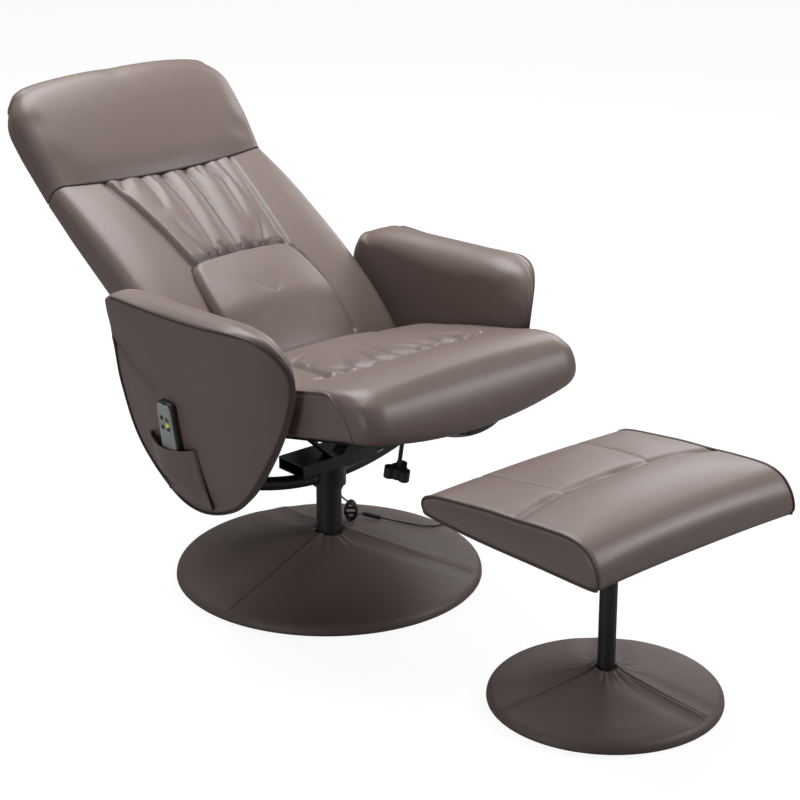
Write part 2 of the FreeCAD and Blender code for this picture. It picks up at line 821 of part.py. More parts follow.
def lock():
    cheek_in = d.lock_cheek_gap
    cheek_out = cheek_in + d.lock_cheek_thickness
    half = d.lock_cheek_depth * 0.5
    low = -d.lock_floor_drop
    floor_top = low + d.lock_cheek_thickness
    high = d.lock_drop
    pieces = [block((cheek_in, -half, low), (cheek_out, half, high), LOCK),
              block((-cheek_out, -half, low), (-cheek_in, half, high), LOCK),
              block((-cheek_out, -half, low), (cheek_out, half, floor_top), LOCK)]
    panel_low = -(d.seat_bottom + d.panel_thickness)
    wide = cheek_out * 2
    above = block((-wide, -d.seat_front * 2, panel_low), (wide, d.seat_front, d.seat_front), SEAT)
    stem_hole = rod(d.stem_radius + d.running_clearance, d.lock_cheek_thickness + 2, (0, 0, low - 1), LOCK)
    node("lock_bracket", cut(fuse(*pieces), above, stem_hole))
    slant = math.radians(n.seat_tilt + n.lock_lean)
    stem_top = -(d.lock_bar_radius * (1 / math.cos(slant)) + d.stem_radius * math.tan(slant) + d.contact_gap)
    node("lock_stem", rod(d.stem_radius, d.stem_length, (0, 0, stem_top - d.stem_length), LOCK))
    knob_top = stem_top - d.stem_length + d.knob_height * 0.6
    knob_low = knob_top - d.knob_height
    lobes = [rod(d.knob_core_radius, d.knob_height, (0, 0, knob_low), LOCK)]
    for i in range(3):
        angle = math.pi / 6 + i * 2 * math.pi / 3
        at = (n.knob_lobe_offset * math.cos(angle), n.knob_lobe_offset * math.sin(angle), knob_low)
        lobes.append(rod(d.knob_lobe_radius, d.knob_height, at, LOCK))
    node("lock_knob", cut(fuse(*lobes), nodes["lock_stem"]))


def lock_bar():
    front = -(d.lock_y + 34)
    fork_in = d.lever_thickness * 0.5 + 1.5
    fork_out = fork_in + 4
    drop = -d.lock_drop
    half = d.lock_pin_radius + 4
    pieces = [rod(d.lock_bar_radius, -front - 26, (0, front, drop), SEAT, "y"),
              block((-fork_out, -30, drop - half), (fork_out, -20, drop + half), SEAT),
              block((fork_in, -22, drop - half), (fork_out, half, drop + half), SEAT),
              block((-fork_out, -22, drop - half), (-fork_in, half, drop + half), SEAT),
              rod(d.lock_pin_radius, fork_out * 2, (-fork_out, 0, drop), SEAT, "x")]
    node("lock_bar", fuse(*pieces))


# Back


def back_frame():
    """Welded frame: two uprights, three rails and the lever of the recline lock."""
    half = FRAME_HALF
    inner = half - d.frame_tube
    front = -d.frame_front
    rear = d.back_rear
    low = -d.frame_foot
    pieces = [block((inner, front, low), (half, rear, d.frame_top), BACK),
              block((-half, front, low), (-inner, rear, d.frame_top), BACK)]
    for z in (d.frame_low_rail, d.back_motor_height - d.frame_tube * 0.5, d.frame_top * 0.55,
              d.frame_top - d.frame_tube):
        pieces.append(block((-half, front, z), (half, rear, z + d.frame_tube), BACK))
    plate = d.lever_thickness * 0.5
    edge = d.lever_width * 0.5
    lever = block((-plate, -edge, -d.lock_drop - 26), (plate, edge + 8, 22), SEAT)
    reach = d.lock_drop
    before = block((-plate - 1, -reach, 0), (plate + 1, front, reach), BACK)
    behind = block((-plate - 1, rear, 0), (plate + 1, reach, reach), BACK)
    slot = block((-plate - 1, -d.lock_slot_width * 0.5, -d.lock_drop - 20),
                 (plate + 1, d.lock_slot_width * 0.5, -d.lock_drop + 8), SEAT)
    bore = rod(d.pin_radius + d.running_clearance, half * 2 + 10, (-half - 5, 0, 0), BACK, "x")
    node("back_frame", cut(fuse(*pieces, cut(lever, slot, before, behind)), bore))


def back_cover():
    node("back_cover", block((-BACK_HALF, d.back_rear, 2),
                             (BACK_HALF, d.back_rear + d.cover_thickness, d.frame_top), BACK))


def frame_room():
    """Space inside the back cushions that the frame takes up."""
    half = FRAME_HALF.value + n.skirt_gap
    deep = n.back_rear + 40
    return Part.makeBox(2 * half, n.frame_front + n.contact_gap + deep, n.frame_top + 40,
                        Vector(-half, -n.frame_front - n.contact_gap, -30))


def back_section(z, front, crown, half, rear=None):
    corner = n.back_corner
    rear = -n.back_rear if rear is None else rear
    return padded_section(lambda x, f: Vector(x, -f, z), half, rear, front, crown, corner)


def lumbar_solid():
    """Wedge-shaped pad, wider at the seat, with a crowned front."""
    rise = n.lumbar_high - n.lumbar_low
    wires = []
    for share, swell in ((0.0, 0.1), (0.12, 0.8), (0.5, 1.0), (0.88, 0.8), (1.0, 0.1)):
        half = n.lumbar_low_half + (n.lumbar_high_half - n.lumbar_low_half) * share
        front = n.back_front + 2 + n.lumbar_swell * swell
        wires.append(padded_section(lambda x, f: Vector(x, -f, n.lumbar_low + rise * share),
                                    half, n.lumbar_seat, front, n.back_crown, n.lumbar_corner))
    return loft(wires)


def back_cushions():
    # share of the length from the seat, share of the front depth, share of the crown
    stations = [(0.004, 0.62, 0.4), (0.11, 0.84, 0.7), (0.33, 1.12, 1.0), (0.6, 1.06, 1.0),
                (0.88, 0.86, 0.8), (1.0, 0.7, 0.6)]
    body = loft([back_section(n.back_length * share, n.back_front * deep, n.back_crown * crown,
                              BACK_HALF.value) for share, deep, crown in stations])
    lumbar = lumbar_solid()
    body = body.cut(frame_room()).cut(lumbar)
    pin_room = Part.makeCylinder(n.pin_radius + n.contact_gap * 5, 2 * BACK_HALF.value + 4,
                                 Vector(-BACK_HALF.value - 2, 0, 0), X_AXIS)
    motor_room = Part.makeCylinder(n.motor_radius + n.contact_gap, n.motor_length + n.contact_gap,
                                   Vector(0, -n.frame_front, n.back_motor_height), Vector(0, -1, 0))
    body = body.cut(pin_room).cut(motor_room)
    for side in (1, -1):
        low_end = Vector(side * n.lumbar_high_half, -n.back_front - n.back_crown * 1.5, n.lumbar_high)
        high_end = Vector(side * n.gather_half, -n.back_front * 0.78, n.back_length)
        body = body.cut(groove(low_end, high_end, n.seam_radius))
    body.Placement = BACK
    lumbar.Placement = BACK
    node("back_cushion", shaped(body))
    node("lumbar_cushion", shaped(lumbar))
    head_low = n.back_length + n.contact_gap
    rise = n.head_top - head_low
    # share of the height, share of the front depth, rear face, share of the half width, crown share
    head = [(0.0, 0.54, -0.9, 1.0, 0.6), (0.18, 0.88, -0.3, 1.0, 1.0), (0.55, 1.1, 0.8, 1.0, 1.3),
            (0.85, 1.12, 1.6, 0.97, 1.2), (1.0, 0.9, 2.4, 0.88, 0.8)]
    wires = [back_section(head_low + rise * share, n.head_front * deep, n.back_crown * crown,
                          BACK_HALF.value * wide, n.back_rear * rear)
             for share, deep, rear, wide, crown in head]
    body = loft(wires).cut(frame_room())
    body.Placement = BACK
    node("headrest_cushion", shaped(body))


# Armrests


def arm_outline(inset=0.0):
    """Teardrop outline of an armrest seen from the side, as a wire in the plane x = 0."""
    long = n.arm_rear + n.arm_front - 2 * inset
    tall = n.arm_top - n.arm_bottom - 2 * inset

    def at(along, up):
        return Vector(0, n.arm_rear - inset - long * along, n.arm_bottom + inset + tall * up)

    stops = [(0.025, 0.94), (0.42, 0.985), (0.82, 1.0), (0.945, 0.945), (1.0, 0.8), (0.965, 0.6),
             (0.88, 0.4), (0.745, 0.18), (0.62, 0.065), (0.44, 0.0), (0.28, 0.045), (0.1, 0.24),
             (0.03, 0.5), (0.022, 0.71), (0.0, 0.87), (-0.005, 0.925)]
    points = [at(*stop) for stop in stops] + [at(*stops[0])]
    return Part.Wire([arc(*points[i:i + 3]) for i in range(0, len(points) - 1, 2)])


def lean_slab(outer_depth, inner_depth):
    """Solid between two copies of the arm's outer surface, sunk by two depths."""
    def edge(depth):
        flat = ARM_OUTER.value - depth
        start = Vector(flat, n.arm_rear + 30, n.arm_top)
        bend = Vector(flat, -n.arm_front * 0.58, n.arm_top)
        middle = Vector(flat - n.arm_front_taper * 0.27, -n.arm_front * 0.85, n.arm_top)
        tip = Vector(flat - n.arm_front_taper, -n.arm_front * 1.09, n.arm_top)
        return start, bend, middle, tip

    a, b, c, e = edge(outer_depth)
    p, q, r, s = edge(inner_depth)
    face = Part.Face(Part.Wire([line(a, b), arc(b, c, e), line(e, s), arc(s, r, q), line(q, p), line(p, a)]))
    drop = n.arm_top - n.arm_bottom + 60
    lean = math.tan(math.radians(n.arm_lean))
    lift = 30.0
    face.translate(Vector(lift * lean, 0, lift))
    return face.extrude(Vector(-(drop + lift) * lean, 0, -(drop + lift)))


def outline_block(inset, rounding):
    """The arm's outline carried sideways past the outer face; rounding lists (inset, x) of its inner edge."""
    wires = []
    for edge_inset, x in rounding + [(0.0, ARM_OUTER.value + n.arm_width / 4)]:
        wire = arm_outline(inset + edge_inset)
        wire.translate(Vector(x, 0, 0))
        wires.append(wire)
    return loft(wires)


def armrests():
    """Board, inner pad and outer panel of both armrests, and the bolts that hold them."""
    deep = ARM_OUTER.value
    panel_depth = n.arm_panel_thickness
    board_depth = panel_depth + n.arm_board_thickness
    inner = ARM_INNER.value
    square = [(0.0, inner)]
    edge = n.arm_edge_round
    rounded = [(edge, inner), (edge * 0.3, inner + edge * 0.3), (0.0, inner + edge)]
    panel = outline_block(0.0, square).common(lean_slab(0, panel_depth))
    board = outline_block(n.arm_board_inset, square).common(lean_slab(panel_depth, board_depth))
    pad = outline_block(0.0, rounded).common(lean_slab(panel_depth, deep)).cut(board)
    frame = arm_side(1)
    gap = n.contact_gap
    below = n.bow_tube_radius
    room = Part.makeBox(n.bow_flange_thickness + gap + 60, n.bow_flange_width + 2 * gap,
                        n.bow_flange_height + 2 * gap + below,
                        Vector(-n.bow_flange_thickness - gap - 60, -n.bow_flange_width / 2 - gap,
                               -n.bow_flange_height / 2 - gap - below))
    room.Placement = frame
    pad = pad.cut(room)
    shanks = []
    for y, z in arm_bolt_places():
        shank = Part.makeCylinder(n.arm_bolt_radius, n.bow_flange_thickness + n.arm_board_thickness * 0.8,
                                  Vector(-n.bow_flange_thickness, y, z), X_AXIS)
        head = Part.makeCylinder(n.arm_bolt_radius * 1.8, 4,
                                 Vector(-n.bow_flange_thickness - 4, y, z), X_AXIS)
        shank = shank.fuse(head).removeSplitter()
        shank.Placement = frame
        shanks.append(shank)
    board = board.cut(Part.makeCompound(shanks))
    for side in ("left", "right"):
        for name, shape in (("arm_board", board), ("arm_pad", pad), ("arm_panel", panel)):
            turned_shape = shape.copy() if side == "left" else shape.mirror(Vector(), X_AXIS)
            node(f"{side}_{name}", shaped(turned_shape))
    bolts = Part.makeCompound(shanks + [shape.mirror(Vector(), X_AXIS) for shape in shanks])
    node("arm_bolts", shaped(bolts))


# Remote control and its pocket


def remote_pocket():
    """Open-topped pouch on the right arm's outer face."""
    half = d.pocket_half_width
    mouth = -d.pocket_mouth_drop
    wall = d.pocket_wall
    floor = -d.remote_top_drop - d.remote_length - d.contact_gap - wall
    left = d.pocket_y - half
    right = d.pocket_y + half
    pouch = block((-d.pocket_bulge, left, floor), (0, right, mouth), ARM_FACE)
    room = block((-d.pocket_bulge + wall, left + wall, floor + wall), (1, right - wall, mouth + 1), ARM_FACE)
    node("remote_pocket", cut(pouch, room))


def remote():
    half = d.remote_width * 0.5
    high = -d.remote_top_drop
    low = high - d.remote_length
    back = -d.remote_gap
    front = back - d.remote_thickness
    case = block((front, d.remote_y - half, low), (back, d.remote_y + half, high), ARM_FACE)
    inset = d.face_margin
    face = block((front, d.remote_y - half + inset, low + inset),
                 (front + d.face_thickness, d.remote_y + half - inset, high - inset), ARM_FACE)
    room = block((front - 1, d.remote_y - half + inset, low + inset),
                 (front + d.face_thickness, d.remote_y + half - inset, high - inset), ARM_FACE)
    wells = []
    openings = []
    names = ("power", "back", "seat", "strength")
    for i, name in enumerate(names):
        y = d.remote_y + d.button_spread * (0.5 if i % 2 else -0.5)
        z = high - d.button_top_drop - d.button_pitch * (i // 2)
        deep = d.face_thickness + d.button_travel + 0.6
        hole = d.button_radius + 0.08
        wells.append(rod(hole, deep + 1, (front - 1, y, z), ARM_FACE, "x"))
        openings.append(rod(hole, d.face_thickness + 2, (front - 1, y, z), ARM_FACE, "x"))
        button = rod(d.button_radius, d.button_rise + d.face_thickness + 0.3,
                     (front - d.button_rise, y, z), ARM_FACE, "x")
        node(f"remote_button_{name}", button)
    node("remote_case", cut(case, room, *wells))
    node("remote_face", cut(face, *openings))


# Footstool


def stool():
    round_base("stool", d.stool_base_radius, d.stool_dome_top, d.stool_dome_flat_radius,
               d.stool_column_radius, STOOL)
    foot = d.glide_height + d.base_plate_thickness
    board_low = d.stool_cushion_bottom - d.stool_board_thickness
    plate_low = board_low - d.stool_plate_thickness
    node("stool_column", revolved("stool_column", [
        (0, foot), (d.stool_flange_radius, foot), (d.stool_flange_radius, foot + d.flange_thickness),
        (d.stool_column_radius, foot + d.flange_thickness), (d.stool_column_radius, plate_low),
        (d.stool_plate_radius, plate_low), (d.stool_plate_radius, board_low), (0, board_low)], STOOL))
    board_half = d.stool_half_width - d.stool_board_side_inset
    board_front = d.stool_front - d.stool_board_end_inset
    board_rear = d.stool_rear - d.stool_board_end_inset
    node("stool_board", block((-board_half, -board_front, board_low),
                              (board_half, board_rear, d.stool_cushion_bottom), STOOL))
    low = n.stool_cushion_bottom
    span = n.stool_rear + n.stool_front
    # share of the depth from the rear, lift of the bottom, height, share of the crown
    stations = [(0.0, 0.2, 0.5, 0.4), (0.04, 0.06, 0.63, 0.7), (0.18, 0.0, 0.75, 1.0), (0.38, 0.0, 0.89, 1.0),
                (0.54, 0.0, 0.91, 0.9), (0.68, 0.0, 1.03, 1.0), (0.84, 0.0, 1.09, 1.0), (0.94, 0.0, 0.97, 0.8),
                (1.0, 0.12, 0.7, 0.4)]
    wires = []
    for share, lift, high, swell in stations:
        y = n.stool_rear - span * share
        wires.append(padded_section(lambda x, z: Vector(x, y, z), n.stool_half_width,
                                    low + n.stool_thickness * lift, low + n.stool_thickness * high,
                                    n.stool_crown * swell, n.stool_corner))
    body = loft(wires)
    body.Placement = STOOL
    node("stool_cushion", shaped(body))


# Low-voltage lead


def dome_height(x, y):
    """Height of the chair base's cover over a point, from its straight slope."""
    slope_top = n.dome_top - n.dome_flat_drop
    slope_low = n.rim_height + n.rim_round * 0.9
    share = (math.hypot(x, y) - n.dome_flat_radius) / (n.base_radius - n.rim_round - n.dome_flat_radius)
    return slope_top + (slope_low - slope_top) * share


def wound(turns, position, per_turn=4):
    """Points and unit tangents of a winding, position(turn) being its centre line."""
    steps = int(turns * per_turn)
    small = 1e-4
    points = []
    tangents = []
    for i in range(steps + 1):
        turn = i / per_turn
        points.append(position(turn))
        tangents.append((position(turn + small) - position(turn - small)).normalize())
    return points, tangents


def lead():
    radius = n.lead_radius
    across = 2 * radius
    # tied hank beside the column: upright oval loops, side by side
    loops = 5.25
    hank_tall = 17.0
    hank_wide = 10.0
    pitch = across + 0.6
    right = Vector(0.749, -0.663, 0)
    deep = Vector(0.663, 0.749, 0)
    middle = Vector(70, 20, dome_height(70, 20) + hank_tall + radius + 2.5)

    def hank_line(turn):
        angle = 2 * math.pi * turn + math.pi / 2
        return (middle - right * (hank_wide * math.cos(angle)) + Z_AXIS * (hank_tall * math.sin(angle))
                + deep * (pitch * (turn - loops / 2)))

    points, tangents = wound(loops, hank_line, 8)
    enter = points[0] - tangents[0] * across
    leave = points[-1] + tangents[-1] * across
    edges = [line(enter, points[0])] + biarcs(points, tangents) + [line(points[-1], leave)]
    node("lead_hank", shaped(winding("lead_hank", edges, radius)))

    heading = Vector(math.cos(math.radians(n.grommet_turn)), math.sin(math.radians(n.grommet_turn)), 0)
    exit_point = heading * (n.column_radius - 1 + n.grommet_length) + Z_AXIS * n.grommet_height
    drop = [exit_point, exit_point + heading * 13, Vector(50, 21, 152), Vector(47, 30, 136),
            enter - tangents[0] * 15 + Z_AXIS * 5, enter]
    node("lead_drop", shaped(lead_tube("lead_drop", drop)))

    # inline connector lying on the cover
    connector_start = Vector(118, 40, dome_height(118, 40) + 9)
    connector_end = Vector(144, 20, dome_height(144, 20) + n.connector_radius + 0.6)
    axis = (connector_end - connector_start).normalize()
    long = (connector_end - connector_start).Length
    node("lead_connector", shaped(Part.makeCylinder(n.connector_radius, long, connector_start, axis)))
    link = [leave, leave + tangents[-1] * 10, Vector(88, 26, 79.5), Vector(97, 34, 77), Vector(107, 41, 75),
            connector_start]
    node("lead_link", shaped(lead_tube("lead_link", link)))

    # put-away length: a coil of two layers beside the base
    coil_middle = Vector(378, -8, radius)
    coil_radius = 5.5 * across
    step = across + 0.9
    inward = 3

    def coil_line(turn):
        depth = min(turn, 2 * inward + 0.5 - turn)
        rise = min(max((turn - inward) / 0.5, 0), 1)
        reach = coil_radius + step * (inward / 2 - depth)
        height = step * (rise - math.sin(2 * math.pi * rise) / (2 * math.pi))
        angle = -2 * math.pi * turn + math.pi
        return coil_middle + Vector(reach * math.cos(angle), reach * math.sin(angle), height)

    points, tangents = wound(2 * inward + 0.5, coil_line)
    start = points[0] - tangents[0] * across
    finish = points[-1] + tangents[-1] * (coil_radius * 1.6)
    edges = [line(start, points[0])] + biarcs(points, tangents) + [line(points[-1], finish)]
    node("lead_coil", shaped(winding("lead_coil", edges, radius)))

    # stretch from the connector over the cover's edge to the coil
    clear = radius + 1.0

    def lying(x, y, lift=0.0):
        return Vector(x, y, dome_height(x, y) + clear + lift)

    route = [connector_end, connector_end + axis * 14, lying(174, 0), lying(188, -16), lying(208, -27),
             lying(231, -30), lying(254, -26), lying(275, -20, 2), Vector(292, -17, 23), Vector(303, -20, 10),
             Vector(316, -28, radius), Vector(334, -38, radius), start - tangents[0] * 18, start]
    node("lead_run", shaped(lead_tube("lead_run", route)))

    tie_ring(middle, hank_tall, hank_wide, pitch, loops, right, deep)
    adapter(finish, tangents[-1])


def tie_ring(middle, tall, wide, pitch, loops, right, deep):
    """Flat tie round the waist of the hank."""
    radius = n.lead_radius
    half_right = wide + radius + n.contact_gap
    half_deep = pitch * loops / 2 + radius + n.contact_gap
    frame = Placement(middle, Rotation(right, deep, Z_AXIS, "ZXY"))
    wall = d.tie_wall
    half_width = d.tie_width * 0.5
    outer = block((-half_right - wall, -half_deep - wall, -half_width),
                  (half_right + wall, half_deep + wall, half_width), frame)
    inner = block((-half_right, -half_deep, -half_width - 1), (half_right, half_deep, half_width + 1), frame)
    node("lead_ties", cut(outer, inner))


def adapter(lead_end, heading):
    """Plug-in adapter lying at the lead's far end."""
    side = Placement(Vector(lead_end.x, lead_end.y, 0), Rotation(X_AXIS, Vector(heading.x, heading.y, 0)))
    half = d.adapter_width * 0.5
    body = block((0, -half, 0), (d.adapter_length, half, d.adapter_height), side)
    pins = [rod(d.adapter_pin_radius, d.adapter_pin_length + 1,
                (d.adapter_length - 1, d.adapter_pin_spread * sign, d.adapter_height * 0.5), side, "x")
            for sign in (1, -1)]
    node("mains_adapter", fuse(body, *pins))


def build():
    round_base("chair", d.base_radius, d.dome_top, d.dome_flat_radius, d.column_radius, WORLD)
    chair_column()
    swivel()
    bow()
    mechanism_box()
    seat_struts()
    seat_frame()
    seat_panel()
    seat_cushion()
    motor("seat_motor", SEAT.multiply(turned(0, -n.seat_motor_y, -n.seat_bottom, Z_AXIS, 0)))
    control_box()
    lock()
    lock_bar()
    back_frame()
    back_cover()
    back_cushions()
    motor("back_motor", BACK.multiply(turned(0, -n.frame_front, n.back_motor_height, X_AXIS, 90)))
    armrests()
    remote_pocket()
    remote()
    stool()
    lead()


def export():
    """Check every object, then write each named piece."""
    doc.recompute()
    failed = [item.Label for item in doc.Objects if {"Invalid", "Error"} & set(item.State)]
    if failed:
        raise RuntimeError(f"failed objects: {failed}")
    for label, item in nodes.items():
        if item.Shape.isNull() or not item.Shape.isValid():
            raise RuntimeError(f"bad shape: {label}")
    os.makedirs("parts", exist_ok=True)
    for label, item in nodes.items():
        item.Shape.exportStep(os.path.join("parts", label + ".step"))
    print(len(nodes), "pieces written")


build()
export()
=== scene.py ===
import json
import math

import bpy
import numpy as np
from mathutils import Matrix


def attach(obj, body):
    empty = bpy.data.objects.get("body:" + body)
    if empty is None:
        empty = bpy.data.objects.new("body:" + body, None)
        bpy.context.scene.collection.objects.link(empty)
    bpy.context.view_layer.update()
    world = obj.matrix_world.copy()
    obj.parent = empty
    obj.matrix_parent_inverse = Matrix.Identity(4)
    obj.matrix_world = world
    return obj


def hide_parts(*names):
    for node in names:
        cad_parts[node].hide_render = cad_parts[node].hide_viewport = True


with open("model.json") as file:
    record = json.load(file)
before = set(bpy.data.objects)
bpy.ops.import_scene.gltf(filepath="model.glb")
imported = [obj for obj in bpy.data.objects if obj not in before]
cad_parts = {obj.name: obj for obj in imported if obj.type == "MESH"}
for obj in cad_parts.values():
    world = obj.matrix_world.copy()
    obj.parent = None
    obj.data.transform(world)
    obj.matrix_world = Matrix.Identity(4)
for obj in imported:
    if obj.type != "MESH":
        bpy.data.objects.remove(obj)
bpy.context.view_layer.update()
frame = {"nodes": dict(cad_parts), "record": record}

MM = 0.001
scene = bpy.context.scene


# Frames of the part, as an origin and a turning matrix; shapes are worked out in millimetres in them

HINGE = (0, 95, 385)
ARM_OUT, ARM_TOP, ARM_LEAN = 345, 590, 8


def turned_frame(origin, axis, degrees):
    """Origin and rotation matrix about one axis."""
    return np.array(origin, float), np.array(Matrix.Rotation(math.radians(degrees), 3, axis))


def placed(spot, points):
    """Points of a frame, in the frame of the whole part: origin + R p."""
    origin, turn = spot
    return points @ turn.T + origin


SEAT = turned_frame(HINGE, "X", -12.5)
BACK = turned_frame(HINGE, "X", -57)
ARM_FACE = turned_frame((-ARM_OUT, 0, ARM_TOP), "Y", -ARM_LEAN)
STOOL = turned_frame((16, -697, 0), "Z", 0)
SIDES = ((-1, "right"), (1, "left"))


# Camera at the photograph's angle


def unit(vectors):
    """Vectors of length 1 in the same directions."""
    return vectors / np.maximum(np.linalg.norm(vectors, axis=-1, keepdims=True), 1e-9)


def axes_matrix(right, up, back, spot):
    """World matrix of a camera or lamp: its three axes in columns, then its spot in metres."""
    place = np.eye(4)
    place[:3] = np.c_[right, up, back, spot]
    return Matrix(place.tolist())


def add_camera():
    """Long lens, placed and turned so that the two round bases stand as in the photograph."""
    pitch, roll = math.radians(20.27), math.radians(0.14)
    spot = np.array([-2549.9, -3080.2, 1819.7]) * MM
    ahead = unit(np.array([0.6626, 0.749, 0.0]))
    right = np.array([ahead[1], -ahead[0], 0.0])
    view = ahead * math.cos(pitch) - np.array([0, 0, math.sin(pitch)])
    up = np.cross(right, view)
    right, up = right * math.cos(roll) + up * math.sin(roll), up * math.cos(roll) - right * math.sin(roll)
    lens = bpy.data.cameras.new("photo_camera")
    lens.lens = 105.2
    lens.sensor_width = 36.0
    lens.clip_end = 50.0
    camera = bpy.data.objects.new("photo_camera", lens)
    camera.matrix_world = axes_matrix(right, up, -view, spot)
    scene.collection.objects.link(camera)
    scene.camera = camera


# Grids and curves

GRID_STEP = 3.6


def ease(x, width=1):
    """0 below 0, 1 above the width, and 3t^2 - 2t^3 between, with t = x / width."""
    t = np.clip(x / width, 0, 1)
    return t * t * (3 - 2 * t)


def smooth_fit(x, places, values):
    """Polynomial of degree 4 fitted to values at places."""
    return np.polyval(np.polyfit(places, values, 4), x)


def bell(x, width):
    """exp(-(x / width)^2): 1 on a line and fading beside it."""
    return np.exp(-(x / width) ** 2)


def full_turn(count):
    """Angles of a full turn in even steps."""
    return np.linspace(0, 2 * np.pi, count, endpoint=False)


def both_sides(half):
    """Points of one side up to the middle, continued by their mirror image."""
    return half + [(-x, y) for x, y in half[-2::-1]]


def even_line(points, count, closed):
    """Spline through points (Catmull-Rom), resampled at even steps of its length."""
    p = np.asarray(points, float)
    if closed:
        p = np.vstack([p[-1:], p, p[:2]])
    else:
        p = np.vstack([2 * p[:1] - p[1:2], p, 2 * p[-1:] - p[-2:-1]])
    spans = len(p) - 3
    t = np.linspace(0, spans, 40 * spans + 1)
    i = np.minimum(t.astype(int), spans - 1)
    f = (t - i)[:, None]
    a, b, c, d = p[i], p[i + 1], p[i + 2], p[i + 3]
    dense = b + 0.5 * f * (c - a + f * (2 * a - 5 * b + 4 * c - d + f * (3 * b - a - 3 * c + d)))
    run = np.r_[0, np.cumsum(np.linalg.norm(np.diff(dense, axis=0), axis=1))]
    at = np.linspace(0, run[-1], count + 1)[:-1] if closed else np.linspace(0, run[-1], count)
    return np.stack([np.interp(at, run, dense[:, k]) for k in range(p.shape[1])], axis=1)


def outward(loop):
    """Unit normals of a closed plane loop, pointing away from its inside."""
    along = np.roll(loop, -1, axis=0) - np.roll(loop, 1, axis=0)
    normal = unit(np.stack([along[:, 1], -along[:, 0]], axis=1))
    x, y = loop[:, 0], loop[:, 1]
    area = np.sum(x * np.roll(y, -1) - np.roll(x, -1) * y)
    return normal if area > 0 else -normal


def line_place(points, line):
    """Least distance of each point of a plane from a broken line, and the share of its runs before it."""
    least = np.full(points.shape[:-1], 1e9)
    place = np.zeros(points.shape[:-1])
    line = np.asarray(line, float)
    for index, (start, end) in enumerate(zip(line[:-1], line[1:])):
        run = end - start
        share = np.clip(((points - start) @ run) / (run @ run), 0, 1)
        away = np.linalg.norm(points - start - share[..., None] * run, axis=-1)
        place = np.where(away < least, (index + share) / (len(line) - 1), place)
        least = np.minimum(least, away)
    return least, place


def line_distance(points, line):
    """The distance alone."""
    return line_place(points, line)[0]


def seam_distance(points, line):
    """Least distance from a line and from its mirror image."""
    return np.minimum(line_distance(points, line * np.array([-1, 1])), line_distance(points, line))


def grid_normals(grid):
    """Unit normals of a grid that is closed round its columns, turned outwards."""
    down = np.gradient(grid, axis=0)
    across = np.roll(grid, -1, axis=1) - np.roll(grid, 1, axis=1)
    normal = unit(np.cross(down, across))
    away = np.sum(normal * (grid - grid.mean(axis=(0, 1))))
    return normal if away > 0 else -normal


def new_piece(name, verts, faces, **values):
    """Smooth-shaded mesh object in metres with its named values on the points."""
    mesh = bpy.data.meshes.new(name)
    mesh.from_pydata((np.asarray(verts) * MM).tolist(), [], faces)
    mesh.polygons.foreach_set("use_smooth", np.ones(len(mesh.polygons), bool))
    for key, value in values.items():
        attribute = mesh.attributes.new(key, "FLOAT", "POINT")
        attribute.data.foreach_set("value", np.asarray(value, np.float32).ravel())
    mesh.update()
    piece = bpy.data.objects.new(name, mesh)
    scene.collection.objects.link(piece)
    return piece


def ring_quads(index):
    """Quads between the rows of an index grid that is closed round its columns."""
    after = np.roll(index, -1, axis=1)
    return np.stack([index[:-1], after[:-1], after[1:], index[1:]], axis=-1).reshape(-1, 4)


def closed_piece(name, grid, seam=None):
    """Closed skin over rings of points, with a pole at each end ring's mean and faces turned outwards."""
    rows, cols, _ = grid.shape
    i = np.arange(rows * cols).reshape(rows, cols)
    quads = ring_quads(i)
    first = np.c_[np.roll(i[0], -1), i[0], np.full(cols, rows * cols)]
    last = np.c_[i[-1], np.roll(i[-1], -1), np.full(cols, rows * cols + 1)]
    flat = grid.reshape(-1, 3) - grid.mean(axis=(0, 1))
    a, b, c, d = (flat[quads[:, k]] for k in range(4))
    volume = np.sum(np.cross(b - a, c - a) * a) + np.sum(np.cross(c - a, d - a) * a)
    turn = -1 if volume < 0 else 1
    faces = [face for part in (quads, first, last) for face in part[:, ::turn].tolist()]
    verts = np.vstack([grid.reshape(-1, 3), grid[0].mean(axis=0), grid[-1].mean(axis=0)])
    seam = np.zeros(grid.shape[:2]) if seam is None else seam
    return new_piece(name, verts, faces, seam=np.r_[seam.ravel(), 0, 0])


def tube_piece(name, path, radius, closed=False):
    """Round section carried along a path: p + r (cos a * n + sin a * b), n and b square to the path."""
    sides = 10
    along = np.roll(path, -1, axis=0) - np.roll(path, 1, axis=0) if closed else np.gradient(path, axis=0)
    along = unit(along)
    side = unit(np.cross(along, np.array([0.31, 0.53, 0.79])))
    other = np.cross(along, side)
    angle = full_turn(sides)[:, None]
    rings = path[:, None] + radius * (np.cos(angle) * side[:, None] + np.sin(angle) * other[:, None])
    if not closed:
        return closed_piece(name, rings)
    i = np.arange(len(path) * sides).reshape(-1, sides)
    quads = ring_quads(np.vstack([i, i[:1]]))
    return new_piece(name, rings.reshape(-1, 3), quads.tolist(), seam=np.zeros(i.size))


def walled(piece, thickness):
    """Give an open skin its thickness, on the inner side."""
    wall = piece.modifiers.new("wall", "SOLIDIFY")
    wall.thickness = thickness * MM
    wall.offset = -1


